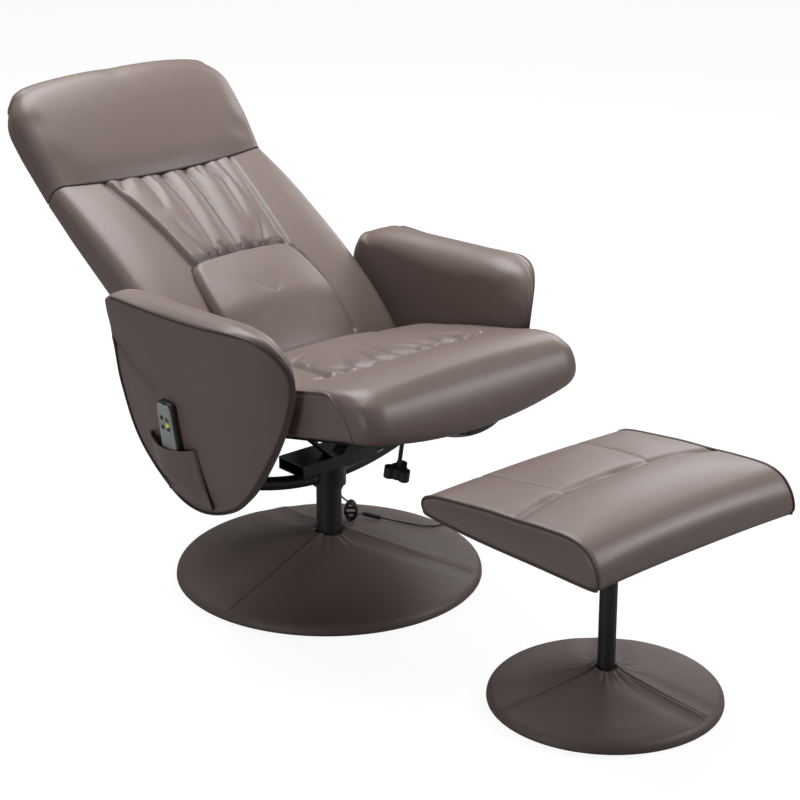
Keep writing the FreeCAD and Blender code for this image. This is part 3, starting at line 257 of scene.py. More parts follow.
def spread_out(moved, rows, total, passes):
    """Movement known on some rows and every second column, made linear between them and smoothed."""
    at = np.arange(total)
    upper = np.clip(np.searchsorted(rows, at, side="right"), 1, len(rows) - 1)
    low, high = rows[upper - 1], rows[upper]
    share = ((at - low) / (high - low))[:, None, None]
    lines = moved[upper - 1] * (1 - share) + moved[upper] * share
    full = np.empty((total, 2 * moved.shape[1], 1))
    full[:, ::2] = lines
    full[:, 1::2] = 0.5 * (lines + np.roll(lines, -1, axis=1))
    for _ in range(passes):
        full = 0.5 * full + 0.25 * (np.roll(full, 1, axis=1) + np.roll(full, -1, axis=1))
        padded = np.concatenate([full[:1], full, full[-1:]])
        full = 0.5 * full + 0.25 * (padded[:-2] + padded[2:])
    return full


def stuffed(name, grid, held, cap, passes=14):
    """Cushion blown up by cloth pressure, its sewn lines held; it swells along its normals, up to cap."""
    steps = 20
    total = len(grid)
    rows = np.unique(np.r_[np.arange(0, total, 2), total - 1])
    coarse = grid[rows][:, ::2]
    cover = closed_piece(name + "_cover", coarse)
    sewn = cover.vertex_groups.new(name="sewn")
    sewn.add(np.flatnonzero(held[rows][:, ::2].ravel()).tolist(), 1.0, "REPLACE")
    cloth = cover.modifiers.new("cover", "CLOTH")
    cloth.settings.quality = 4
    cloth.settings.use_pressure = True
    cloth.settings.uniform_pressure_force = 4.0
    cloth.settings.effector_weights.gravity = 0
    cloth.settings.vertex_group_mass = "sewn"
    cloth.collision_settings.use_collision = False
    cloth.point_cache.frame_start = 1
    cloth.point_cache.frame_end = steps
    for step in range(1, steps + 1):
        scene.frame_set(step)
    shown = cover.evaluated_get(bpy.context.evaluated_depsgraph_get())
    flat = np.empty(len(shown.data.vertices) * 3, np.float32)
    shown.data.vertices.foreach_get("co", flat)
    moved = flat.reshape(-1, 3)[:-2].reshape(coarse.shape) / MM - coarse
    normal = grid_normals(grid)
    swell = np.clip(np.sum(moved * normal[rows][:, ::2], axis=-1, keepdims=True), 0, cap)
    mesh = cover.data
    bpy.data.objects.remove(cover)
    bpy.data.meshes.remove(mesh)
    scene.frame_set(1)
    return grid + normal * spread_out(swell, rows, total, passes)


def folds(points, lines, depth, width):
    """Gathered cloth: a sharp valley along each line, -d f exp(-r / w), f fading along it to a quarter; dark
    is painted shade along each valley.
    """
    lift = np.zeros(points.shape[:-1])
    dark = np.zeros(points.shape[:-1])
    for line, share in lines:
        away, along = line_place(points, line)
        fade = share * (1 - 0.75 * along)
        away = np.sqrt(away ** 2 + 1.2)
        lift = np.minimum(lift, -depth * fade * np.exp(-away / (width * (0.6 + 0.6 * share))))
        # Painted shade along the fold valleys.
        dark = np.maximum(dark, fade * bell(away, 0.34 * width))
    return lift, dark


def ring_at(x, loop):
    """Loop of (y, z) set at x, which is one value or one for each point."""
    return np.c_[np.broadcast_to(x, len(loop)), loop]


def carried(profile, half, corner, bulge=0.0):
    """Closed profile(x) carried sideways from -half to half.

    Each end turns in by a quarter circle of the corner's radius, x = half - r + r sin a with the
    profile drawn in by r (1 - cos a), and its flat side closes on the profile's middle.
    """
    flat = half - corner
    rings = [ring_at(x, profile(x)) for x in np.linspace(-flat, flat, int(2 * flat / GRID_STEP) + 1)]
    edge = profile(half)
    normal = outward(edge)
    ends = [ring_at(flat + corner * math.sin(angle), edge - normal * (corner * (1 - math.cos(angle))))
            for angle in np.linspace(0, np.pi / 2, 7)[1:]]
    rim = ends[-1][:, 1:]
    middle = rim.mean(axis=0)
    ends += [ring_at(half + bulge * (1 - (1 - share) ** 2), rim + (middle - rim) * share)
             for share in (0.06, 0.18, 0.34, 0.52, 0.7, 0.86, 0.96)]
    mirrored = [ring * np.array([-1, 1, 1]) for ring in ends[::-1]]
    return np.stack(mirrored + rings + ends)


# Materials


def fed(tree, node, **inputs):
    """Node whose inputs, spelled with underscores, take values or links from sockets."""
    for key, value in inputs.items():
        socket = node.inputs[key.replace("_", " ")]
        if isinstance(value, bpy.types.NodeSocket):
            tree.links.new(value, socket)
        else:
            socket.default_value = value
    return node


def new_node(tree, kind, **inputs):
    """New shader node with its inputs."""
    return fed(tree, tree.nodes.new("ShaderNode" + kind), **inputs)


def node_material(name, colour, roughness, specular=0.5):
    """Plain material with its node tree and shader."""
    material = bpy.data.materials.new(name)
    material.use_nodes = True
    tree = material.node_tree
    shader = fed(tree, tree.nodes["Principled BSDF"], Base_Color=(*colour, 1), Roughness=roughness,
                 Specular_IOR_Level=specular)
    return material, tree, shader


def own_place(tree):
    """The piece's own coordinates."""
    return new_node(tree, "TexCoord").outputs["Object"]


def noise(tree, scale):
    """Noise over the piece's own coordinates."""
    return new_node(tree, "TexNoise", Vector=own_place(tree), Scale=scale, Detail=3.0).outputs["Fac"]


def ranged(tree, source, low, high):
    """Map 0..1 to low..high."""
    return new_node(tree, "MapRange", Value=source, To_Min=low, To_Max=high).outputs["Result"]


def shade(colour, share):
    """Colour made darker or lighter."""
    return tuple(c * share for c in colour)


def mixed(tree, share, first, second):
    """Colour between two colours; each is a tuple or a socket."""
    mix = new_node(tree, "Mix")
    mix.data_type = "RGBA"
    fed(tree, mix, Factor=share)
    for socket, colour in ((mix.inputs[6], first), (mix.inputs[7], second)):
        if isinstance(colour, tuple):
            socket.default_value = (*colour, 1)
        else:
            tree.links.new(colour, socket)
    return mix.outputs[2]


def bumped(tree, *layers):
    """Normal of stacked bump layers, each of (height socket, strength, distance in metres)."""
    before = {}
    for height, strength, distance in layers:
        bump = new_node(tree, "Bump", Height=height, Strength=strength, Distance=distance, **before)
        before = {"Normal": bump.outputs["Normal"]}
    return before["Normal"]


def leatherette(name, colour, roughness=0.39):
    """Coated cloth: fine pebble grain, faint mottling, and darker where the seam value is high: sewn lines,
    and painted shade in fold valleys, gaps and the pocket slit.
    """
    material, tree, shader = node_material(name, colour, roughness, 0.34)
    pebble = new_node(tree, "TexVoronoi", Vector=own_place(tree), Scale=760)
    seam_and_shade = new_node(tree, "Attribute")
    seam_and_shade.attribute_name = "seam"
    mottle = ranged(tree, noise(tree, 9.0), 0.25, 0.75)
    surface = mixed(tree, mottle, shade(colour, 0.92), shade(colour, 1.09))
    # The seam value darkens the colour towards 0.16 of it: sewn lines, and painted shade.
    fed(tree, shader, Base_Color=mixed(tree, seam_and_shade.outputs["Fac"], surface, shade(colour, 0.16)),
        Roughness=ranged(tree, noise(tree, 160.0), roughness - 0.06, roughness + 0.08),
        Normal=bumped(tree, (noise(tree, 55.0), 0.05, 0.004), (pebble.outputs["Distance"], 0.16, 0.0006)))
    return material


def fine_finish(name, colour, roughness, specular, shades, scales, glossier, relief):
    """Hard finish: mottling, changes of gloss and fine relief, each from a noise of its own scale."""
    material, tree, shader = node_material(name, colour, roughness, specular)
    mottle, gloss, grain = (noise(tree, scale) for scale in scales)
    fed(tree, shader, Base_Color=mixed(tree, mottle, shade(colour, shades[0]), shade(colour, shades[1])),
        Roughness=ranged(tree, gloss, roughness - glossier, roughness + 0.1),
        Normal=bumped(tree, (grain, *relief)))
    return material


def coated_metal(name, colour, roughness):
    """Powder-coated or drawn metal with fine orange peel."""
    return fine_finish(name, colour, roughness, 0.5, (0.8, 1.25), (30.0, 240.0, 900.0), 0.07, (0.08, 0.0004))


def moulded(name, colour, roughness):
    """Moulded plastic or rubber with a fine spark texture."""
    return fine_finish(name, colour, roughness, 0.45, (0.85, 1.15), (45.0, 700.0, 1500.0), 0.05,
                       (0.12, 0.0003))


def plywood(name, colour):
    """Layered board: stretched noise for the grain."""
    material, tree, shader = node_material(name, colour, 0.6)
    stretch = new_node(tree, "Mapping", Vector=own_place(tree), Scale=(4, 60, 60)).outputs["Vector"]
    grain = new_node(tree, "TexNoise", Vector=stretch, Scale=3.0, Detail=6.0).outputs["Fac"]
    fed(tree, shader, Base_Color=mixed(tree, grain, shade(colour, 0.7), shade(colour, 1.2)),
        Normal=bumped(tree, (grain, 0.15, 0.001)))
    return material


LEATHER = (0.150, 0.112, 0.100)
leather = leatherette("brown_leatherette", LEATHER)
# Round bases: darker, more matte leatherette; part of its darkness is painted shade from the seats above.
base_leather_and_shade = leatherette("base_leatherette_and_painted_shade", shade(LEATHER, 0.72), 0.52)
# Piping in darker leatherette: mostly painted shade along the seam beside it.
piping = leatherette("piping_and_painted_shade", shade(LEATHER, 0.42), 0.4)
black_metal = coated_metal("black_powder_coat", (0.014, 0.014, 0.015), 0.36)
black_plastic = moulded("black_plastic", (0.016, 0.016, 0.017), 0.42)
black_rubber = moulded("black_rubber", (0.012, 0.012, 0.012), 0.5)
steel = coated_metal("bare_steel", (0.56, 0.56, 0.55), 0.32)
fed(steel.node_tree, steel.node_tree.nodes["Principled BSDF"], Metallic=1.0)
board = plywood("plywood", (0.42, 0.28, 0.16))
silver = moulded("silver_plastic", (0.30, 0.33, 0.31), 0.34)
button_black = moulded("button_rubber", (0.03, 0.03, 0.035), 0.5)

SLOT_MATERIALS = {"padding": leather, "upholstery": leather, "plywood": board, "bare_steel": steel,
                  "black_metal": black_metal, "black_plastic": black_plastic, "black_rubber": black_rubber,
                  "remote_silver": silver, "button_rubber": button_black}


def dress_cad_nodes():
    """Give every node of the frame the finish of its slot; the lock's stem is coated like the bracket."""
    for entry in frame["record"]["subparts"]:
        coated = entry["node"] == "lock_stem"
        data = frame["nodes"][entry["node"]].data
        data.materials.clear()
        data.materials.append(black_metal if coated else SLOT_MATERIALS[entry["material_slot"]])


def finished(piece, material, body, slot, *replaced):
    """Give a piece its finish and body, and hide the nodes that it stands for; slot is not used."""
    piece.data.materials.append(material)
    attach(piece, body)
    if replaced:
        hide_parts(*replaced)


# Low-voltage lead

LEAD_RADIUS = 1.7


def dome_height(x, y):
    """Height of the chair base's cover over a point, on its straight slope from 82 at 58 to 23.9 at 274."""
    return 82.0 + (23.9 - 82.0) * (np.hypot(x, y) - 58.0) / (274.0 - 58.0)


def lead_spline(name, points):
    """Smooth lead that runs close by its points."""
    curve = bpy.data.curves.new(name, "CURVE")
    curve.dimensions = "3D"
    curve.bevel_depth = 1.0
    curve.bevel_resolution = 3
    curve.use_fill_caps = True
    curve.resolution_u = 6
    spline = curve.splines.new("NURBS")
    spline.points.add(len(points) - 1)
    spline.points.foreach_set("co", np.c_[points * MM, np.ones(len(points))].ravel())
    spline.points.foreach_set("radius", np.full(len(points), LEAD_RADIUS * MM))
    spline.order_u = 3
    spline.use_endpoint_u = True
    lead = bpy.data.objects.new(name, curve)
    scene.collection.objects.link(lead)
    return lead


def spline_length(lead):
    """Length of the lead's own line, read from a copy with no bevel."""
    depth = lead.data.bevel_depth
    lead.data.bevel_depth = 0
    bpy.context.view_layer.update()
    line = bpy.data.meshes.new_from_object(lead.evaluated_get(bpy.context.evaluated_depsgraph_get()))
    flat = np.empty(len(line.vertices) * 3)
    line.vertices.foreach_get("co", flat)
    bpy.data.meshes.remove(line)
    lead.data.bevel_depth = depth
    return float(np.sum(np.linalg.norm(np.diff(flat.reshape(-1, 3), axis=0), axis=1)))


def hank_points():
    """Five and a quarter upright oval loops side by side: c - w cos a R + t sin a Z + pitch D.

    The lead runs a little inside its points, so the loops are drawn larger by the swell.
    """
    loops, tall, wide, pitch, swell = 5.25, 17.0, 10.0, 4.0, 1.035
    right, deep, up = np.array([(0.749, -0.663, 0), (0.663, 0.749, 0), (0, 0, 1)])
    middle = np.array([70, 20, dome_height(70, 20) + tall + LEAD_RADIUS + 2.5])
    turn = np.linspace(0, loops, int(loops * 12) + 1)[:, None]
    angle = 2 * np.pi * turn + np.pi / 2
    return (middle - right * (wide * swell * np.cos(angle)) + up * (tall * swell * np.sin(angle))
            + deep * (pitch * (turn - loops / 2)))


def coil_points():
    """Flat coil of two layers: three turns inwards, a half turn up, three turns outwards."""
    radius, step, inward, swell = 18.7, 4.3, 3, 1.02
    turns = 2 * inward + 0.5
    turn = np.linspace(0, turns, int(turns * 14) + 1)
    rise = np.clip((turn - inward) / 0.5, 0, 1)
    reach = (radius + step * (inward / 2 - np.minimum(turn, turns - turn))) * swell
    angle = -2 * np.pi * turn + np.pi
    height = step * (rise - np.sin(2 * np.pi * rise) / (2 * np.pi))
    return np.c_[378 + reach * np.cos(angle), -8 + reach * np.sin(angle), LEAD_RADIUS + height]


def make_leads():
    """Upper lead from the column by the hank to the connector, and lower lead from there to the adapter."""
    turn = math.radians(15)
    heading = np.array([math.cos(turn), math.sin(turn), 0])
    leave = heading * 31.5 + np.array([0, 0, 164])
    hank = hank_points()
    start = np.array([118, 40, dome_height(118, 40) + 9])
    end = np.array([144, 20, dome_height(144, 20) + 5.1])
    drop = np.array([leave, leave + heading * 13, [50, 21, 152], [47, 30, 136]])
    link = np.array([hank[-1] - [0, 0, 10], [88, 26, 79.5], [97, 34, 77], [107, 41, 75], start])
    upper = lead_spline("lead_upper", np.vstack([drop, hank, link]))
    finished(upper, black_rubber, "base", "black_rubber", "lead_drop", "lead_hank", "lead_link")
    spline_length(upper)
    lying = np.array([[174, 0], [188, -16], [208, -27], [231, -30], [254, -26], [275, -20]], float)
    over = np.c_[lying, dome_height(lying[:, 0], lying[:, 1]) + LEAD_RADIUS + 1.0]
    over[-1, 2] += 2
    coil = coil_points()
    floor = np.array([[292, -17, 23], [303, -20, 10], [316, -28, LEAD_RADIUS], [334, -38, LEAD_RADIUS]])
    before = coil[0] - [[0, 22, 0], [0, 4, 0]]
    tail = coil[-1] - [0, 30, 0]
    ahead = end + unit(end - start) * 14
    lower = lead_spline("lead_lower", np.vstack([end, ahead, over, floor, before, coil, tail]))
    finished(lower, black_rubber, "base", "black_rubber", "lead_run", "lead_coil")
    spline_length(lower)


# Seat

SEAT_HALF = 250.0
SEAT_SIDE = even_line([(-46, -50), (-43, -18), (-50, 14), (-80, 29), (-200, 30), (-330, 27), (-420, 29),
                       (-466, 22), (-494, 3), (-505, -22), (-501, -44), (-484, -57), (-450, -58.6),
                       (-250, -58.6), (-100, -58.6)], 300, True)
SEAT_RIM = np.array([(246, -64, 24), (247, -200, 28), (247, -330, 25), (247.5, -405, 25), (249, -436, 16),
                     (249.4, -462, -6), (249.4, -478, -32), (249, -482, -56)])
SEAT_SEAM = np.array([(112, -44), (120, -110), (145, -220), (172, -322)])
CROSS_SEAM = both_sides([(-192, -306), (-172, -322), (-120, -338), (0, -346)])


def seat_profile(x):
    """Side section at x: a pad with a full front roll; the middle is crowned and its lip hangs."""
    share = 1 - (x / SEAT_HALF) ** 2
    y, z = SEAT_SIDE.T
    top = ease(z, 18)
    lip = ease(-415 - y, 55) * ease(6 - z, 34)
    return np.c_[y, z + 9 * share * top - 32 * share * lip]


def front_corner(points):
    """Seat points with round front corners: y + 40 (1 - sqrt(1 - 0.96 t^2)), t growing to each side."""
    moved = points.copy()
    t = np.clip((np.abs(points[..., 0]) - 205) / 45, 0, 1)
    w = ease(-380 - points[..., 1], 110)
    moved[..., 1] += 40 * (1 - np.sqrt(1 - 0.96 * t ** 2)) * w
    moved[..., 2] -= 7 * t ** 2 * w * ease(points[..., 2], 20)
    return moved


def seat_seam(y):
    """Distance of the side seams from the middle."""
    return np.interp(-y, -SEAT_SEAM[:, 1], SEAT_SEAM[:, 0])


def seat_folds():
    """Lines of the gathers: S-shaped ones rising from the cross seam, short ones from the side seams."""
    draw = np.random.RandomState(11)
    lines = []
    for i in range(13):
        strong = i < 8
        x = -150 + 300 * (i + 0.5) / 8 if strong else draw.uniform(-150, 150)
        x += draw.uniform(-8, 8)
        long = draw.uniform(75, 135) if strong else draw.uniform(30, 60)
        end = -343 + 24 * (abs(x) / 172) ** 2
        bend = draw.choice([-1, 1]) * draw.uniform(6, 13)
        lines.append(([(x, end), (x + bend, end + long * 0.3), (x - 0.4 * bend, end + long * 0.65),
                       (x * 0.93 - 1.5 * bend, end + long)],
                      draw.uniform(0.75, 1.0) if strong else draw.uniform(0.3, 0.5)))
    for i in range(6):
        y = -80 - 38 * i + draw.uniform(-12, 12)
        for s in (-1, 1):
            x = s * seat_seam(y)
            long = draw.uniform(25, 65)
            lines.append(([(x, y), (x - s * long * 0.5, y + draw.uniform(-4, 9)),
                           (x - s * long, y + draw.uniform(-4, 22))], draw.uniform(0.35, 0.8)))
    return lines


def seat_cushion():
    """Stuffed pad: within its seams it is fuller and falls into gathers, and each seam draws it in."""
    fuller, drawn = 7.0, 5.0
    grid = front_corner(carried(seat_profile, SEAT_HALF - 1, 12.0))
    x, y, z = np.moveaxis(grid, -1, 0)
    plan = grid[..., :2]
    upper = ease(z - 2, 12) * ease(246 - np.abs(x), 6)
    sewn = np.minimum(line_distance(plan, CROSS_SEAM), seam_distance(plan, SEAT_SEAM))
    held = (upper > 0.5) & (sewn < 4) | (z < -50) & (y > -430) | (np.abs(x) > 247)
    grid = stuffed("seat_cushion", grid, held, 11)
    within = ease(seat_seam(y) - np.abs(x), 14) * ease(y + 340, 10) * upper
    lift, dark = folds(plan, seat_folds(), 13.0, 14.0)
    move = upper * (within * (lift + fuller) - drawn * bell(sewn, 4.5))
    grid = grid + grid_normals(grid) * move[..., None]
    # Dark sewn lines, and painted shade along the valleys of the gathers.
    seam = upper * np.maximum(0.75 * bell(sewn, 1.7), 0.6 * within * dark)
    piece = closed_piece("seat_cushion_cover", placed(SEAT, grid), seam)
    finished(piece, leather, "seat_unit", "padding", "seat_cushion")
    for sign, name in SIDES:
        rim = front_corner(even_line(SEAT_RIM * [sign, 1, 1], 150, False))
        finished(tube_piece("seat_welt_" + name, placed(SEAT, rim), 2.2), leather, "seat_unit", "padding")


# Back

BACK_HALF, BACK_REAR = 249.0, -13.5
HEAD_SEAM, HEAD_TOP = 499, 727


def back_front(z):
    """Front depth of the back at a height above the hinge."""
    return smooth_fit(z, [0, 55, 165, 300, 440, 500], [30, 44, 57, 55, 45, 37])


def head_seam(x):
    """Height of the seam under the headrest, lower in the middle."""
    return HEAD_SEAM - 27 * (1 - (x / BACK_HALF) ** 2)


def back_ring(half, rear, front, crown):
    """Flat section as (x, front depth): small rear corners, full front corners and a crowned front."""
    small, corner = 4.0, 26.0
    edge = np.linspace(0, np.pi / 2, 9)
    flat, cx = half - small, half - corner
    low, high = rear + small, front - corner
    face = np.linspace(cx, -cx, 60)
    ring = np.vstack([np.c_[np.linspace(-flat, flat, 40), np.full(40, rear)],
                      np.c_[flat + small * np.sin(edge), low - small * np.cos(edge)],
                      np.c_[cx + corner * np.cos(edge), high + corner * np.sin(edge)],
                      np.c_[face, front + crown * (1 - (face / cx) ** 2)],
                      np.c_[-cx - corner * np.sin(edge), high + corner * np.cos(edge)],
                      np.c_[-flat - small * np.cos(edge), low - small * np.sin(edge)]])
    closed = np.vstack([ring, ring[:1]])
    run = np.r_[0, np.cumsum(np.linalg.norm(np.diff(closed, axis=0), axis=1) + 1e-9)]
    at = np.linspace(0, run[-1], 320, endpoint=False)
    return np.stack([np.interp(at, run, closed[:, k]) for k in range(2)], axis=1)


def stacked(low, high, section, low_round, high_round):
    """Rings stacked along the back; each end turns in by a quarter circle and closes on its middle."""
    def end(z, sign, radius):
        ring = section(z)
        centre = 0.5 * (ring.min(axis=0) + ring.max(axis=0))
        half = 0.5 * np.ptp(ring, axis=0)
        made = [(centre + (ring - centre) * (1 - radius * (1 - math.cos(angle)) / half),
                 z + sign * radius * math.sin(angle)) for angle in np.linspace(0, np.pi / 2, 6)[1:]]
        rim, top = made[-1]
        middle = rim.mean(axis=0)
        return made + [(rim + (middle - rim) * share, top) for share in (0.12, 0.35, 0.6, 0.85)]

    low, high = low + low_round, high - high_round
    parts = end(low, -1, low_round)[::-1]
    parts += [(section(z), z) for z in np.linspace(low, high, int((high - low) / GRID_STEP))]
    parts += end(high, 1, high_round)
    return np.stack([np.c_[ring * [1, -1], np.full(len(ring), z)] for ring, z in parts])


def on_back(rings):
    """Grid of rings, each a loop of (x, height) and its depth behind the hinge's plane."""
    return np.stack([np.c_[loop[:, 0], np.broadcast_to(depth, len(loop)), loop[:, 1]]
                     for loop, depth in rings])


GATHER_FOLDS = [
    ([(-21, 474), (-26, 420), (-33, 350), (-45, 262)], 1.0),
    ([(34, 474), (22, 380), (10, 300), (3, 232)], 1.0),
    ([(80, 478), (90, 425), (78, 370), (66, 320)], 0.85), ([(-68, 474), (-72, 420), (-80, 380)], 0.7),
    ([(-112, 478), (-134, 424)], 0.55), ([(60, 236), (74, 266), (88, 300)], 0.5),
    ([(-66, 236), (-76, 280), (-84, 330)], 0.45), ([(-26, 232), (-31, 266)], 0.6),
    ([(-48, 232), (-54, 260)], 0.55), ([(26, 232), (22, 264)], 0.55), ([(-8, 232), (-12, 252)], 0.5),
    ([(112, 478), (104, 400), (98, 340)], 0.4), ([(58, 474), (52, 430)], 0.5), ([(8, 474), (4, 440)], 0.4),
    ([(-44, 474), (-50, 440)], 0.45)]
GATHER_SEAM = np.array([(112, 232), (122, 320), (134, 400), (146, 476)])
LUMBAR_EDGE = both_sides([(-136, 20), (-136, 60), (-133, 130), (-124, 190), (-114, 220), (-96, 234),
                          (0, 239)])


def back_cushion():
    """Stuffed pad: fuller and gathered between its side seams, with a gutter round the lumbar pad."""
    fuller, drawn = 8.0, 6.5

    def section(z):
        return back_ring(BACK_HALF - 3 * ease(z - 380, 120), BACK_REAR, back_front(z), 7.0)

    grid = stacked(-14, HEAD_SEAM, section, 12.0, 4.0)
    x, y, z = np.moveaxis(grid, -1, 0)
    z += (head_seam(x) - HEAD_SEAM) * ease(z - 380, 119)
    plan = grid[..., [0, 2]]
    below = head_seam(x) - z
    front = ease(-y - 14, 14)
    sides = seam_distance(plan, GATHER_SEAM)
    under_pad = (np.abs(x) < 118) & (z < 228)
    held = (-y < 4) | (front > 0.5) & ((sides < 4) | under_pad) | (z < 0) | (below < 10)
    grid = stuffed("back_cushion", grid, held, 5, 24)
    half = np.interp(z, GATHER_SEAM[:, 1], GATHER_SEAM[:, 0])
    within = (ease(half - np.abs(x), 12) * ease(z - 226, 12)
              * ease(below + 3, 10) * front)
    lift, dark = folds(plan, GATHER_FOLDS, 17.0, 11.0)
    gutter = line_distance(plan, LUMBAR_EDGE)
    channel = front * np.maximum(bell(sides, 4.5), bell(gutter, 6))
    move = within * (lift + fuller) - drawn * channel
    grid = grid + grid_normals(grid) * move[..., None]
    # Dark sewn lines at the side seams; painted shade in the gutter round the lumbar pad and in the fold
    # valleys.
    seam = np.maximum(front * 0.85 * bell(np.minimum(sides, gutter), 1.8), 0.8 * within * dark)
    rim = ease(3.5 - below, 3)
    piece = closed_piece("back_cushion_cover", placed(BACK, grid), np.maximum(seam, 0.8 * rim))
    finished(piece, leather, "back", "padding", "back_cushion")


def headrest():
    """Stuffed roll above the seam: depths and half width follow its height, and its top corners droop."""
    def section(z):
        share = (z - HEAD_SEAM) / (HEAD_TOP - HEAD_SEAM)
        front = smooth_fit(share, [0, 0.12, 0.3, 0.5, 0.7, 0.85, 1.0], [37, 46, 60, 71, 78, 80, 76])
        rear = smooth_fit(share, [0, 0.1, 0.3, 0.55, 0.85, 1.0], [BACK_REAR, -9, 0, 11, 23, 30])
        half = 246 + 4 * ease(share, 0.4) - 40 * np.clip((share - 0.62) / 0.38, 0, 1) ** 2.6
        return back_ring(half, rear, front, 8.0 + 4 * ease(share * 2))

    grid = stacked(HEAD_SEAM, HEAD_TOP, section, 4.0, 21.0)
    x, y, z = np.moveaxis(grid, -1, 0)
    z += (head_seam(x) - HEAD_SEAM) * (1 - ease(z - HEAD_SEAM, 120))
    z -= 14 * ease(z - 610, 110) * (x / BACK_HALF) ** 4
    held = (z < head_seam(x) + 8) | (-y < 4)
    grid = stuffed("headrest_cushion", grid, held, 8, 20)
    rim = 1 - ease(grid[..., 2] - head_seam(grid[..., 0]) - 0.5, 3)
    piece = closed_piece("headrest_cover", placed(BACK, grid), 0.8 * rim)
    finished(piece, leather, "back", "padding", "headrest_cushion")


def lumbar():
    """Pad in front of the back: rings of its outline rise over a rolled edge to a crowned middle."""
    edge_low, edge_high, crown, roll = 46.0, 68.0, 17.0, 13.0
    middle = np.array([0.0, 112.0])
    outline = even_line([(-118, -34), (0, -38), (118, -34), (132, -10), (136, 60), (133, 130), (124, 190),
                         (114, 220), (96, 233), (50, 237), (0, 238), (-50, 237), (-96, 233), (-114, 220),
                         (-124, 190), (-133, 130), (-136, 60), (-132, -10)], 280, True)
    normal = outward(outline)

    def rise(loop):
        return crown * np.clip((1 - (loop[:, 0] / 150) ** 2) * (1 - ((loop[:, 1] - 100) / 155) ** 2), 0, 1)

    rings = [(outline - normal * 8 + (middle - outline) * share, -edge_low)
             for share in (0.88, 0.6, 0.3, 0.06)]
    for angle in np.linspace(-0.5, np.pi / 2, 12):
        loop = outline - normal * (roll * (1 - math.cos(angle)))
        lifted = rise(loop) * max(0.0, math.sin(angle)) ** 2
        rings.append((loop, -(edge_high - roll + roll * math.sin(angle) + lifted)))
    rim = outline - normal * roll
    for share in np.linspace(0, 0.97, 38)[1:]:
        loop = rim + (middle - rim) * share
        rings.append((loop, -(edge_high + rise(loop))))
    grid = on_back(rings)
    grid[..., 1] -= np.clip(back_front(grid[..., 2]) - 57, -26, 0) * ease(120 - grid[..., 2], 60)
    held = np.zeros(grid.shape[:2], bool)
    held[:7] = True
    grid = stuffed("lumbar_cushion", grid, held, 3, 70)
    seam = np.zeros(grid.shape[:2])
    # Rear face and lower roll darkened: painted shade where the pad meets the back.
    seam[:9] = np.array([0.85] * 6 + [0.6, 0.3, 0.1])[:, None]
    piece = closed_piece("lumbar_cover", placed(BACK, grid), seam)
    finished(piece, leather, "back", "padding", "lumbar_cushion")


def back_cover():
    """Rear panel: rings of its outline over a small rolled edge, closing on a slightly domed middle."""
    inner, outer = 14.2, 18.2
    outline = even_line([(-230, 8), (0, 6), (230, 8), (237, 16), (237, 260), (236, 490), (230, 508),
                         (190, 512), (0, 512), (-190, 512), (-230, 508), (-236, 490), (-237, 260),
                         (-237, 16)], 300, True)
    normal = outward(outline)
    middle = outline.mean(axis=0)
    rings = [(outline + (middle - outline) * share, inner) for share in (0.9, 0.6, 0.3)]
    rings += [(outline - normal * (3 * (1 - math.sin(angle))), inner + 4 * math.sin(angle))
              for angle in np.linspace(0, np.pi / 2, 5)]
    rings += [(outline + (middle - outline) * share, outer + 5 * (1 - (1 - share) ** 2))
              for share in np.linspace(0.03, 0.97, 24)]
    piece = closed_piece("back_cover_panel", placed(BACK, on_back(rings)))
    finished(piece, leather, "back", "upholstery", "back_cover")
    welt = tube_piece("back_cover_piping", placed(BACK, on_back([(outline, 15.5)])[0]), 2.0, True)
    finished(welt, leather, "back", "upholstery")


# Armrests

ARM_FACE_RINGS = 56
NOSE_RADIUS = 160.75


def arm_outline():
    """Side outline, from stops given as shares of the arm's length from its rear and of its height."""
    stops = np.array([(0.025, 0.94), (0.2, 0.963), (0.42, 0.985), (0.62, 0.997), (0.82, 1.0), (0.945, 0.945),
                      (1.0, 0.8), (0.975, 0.6), (0.905, 0.4), (0.785, 0.19), (0.645, 0.066), (0.45, 0.0),
                      (0.28, 0.045), (0.1, 0.24), (0.03, 0.5), (0.022, 0.71), (0.0, 0.87)])
    return even_line(np.c_[206 - 446 * stops[:, 0], 203 + 387 * stops[:, 1]], 360, True)


def arm_outer(loop):
    """Outer face over points of (y, z): leaning, and drawn in to the front along a circle."""
    nose = NOSE_RADIUS - np.sqrt(NOSE_RADIUS ** 2 - np.clip(-116.5 - loop[:, 0], 0, 150) ** 2)
    return ARM_OUT - math.tan(math.radians(ARM_LEAN)) * (ARM_TOP - loop[:, 1]) - nose


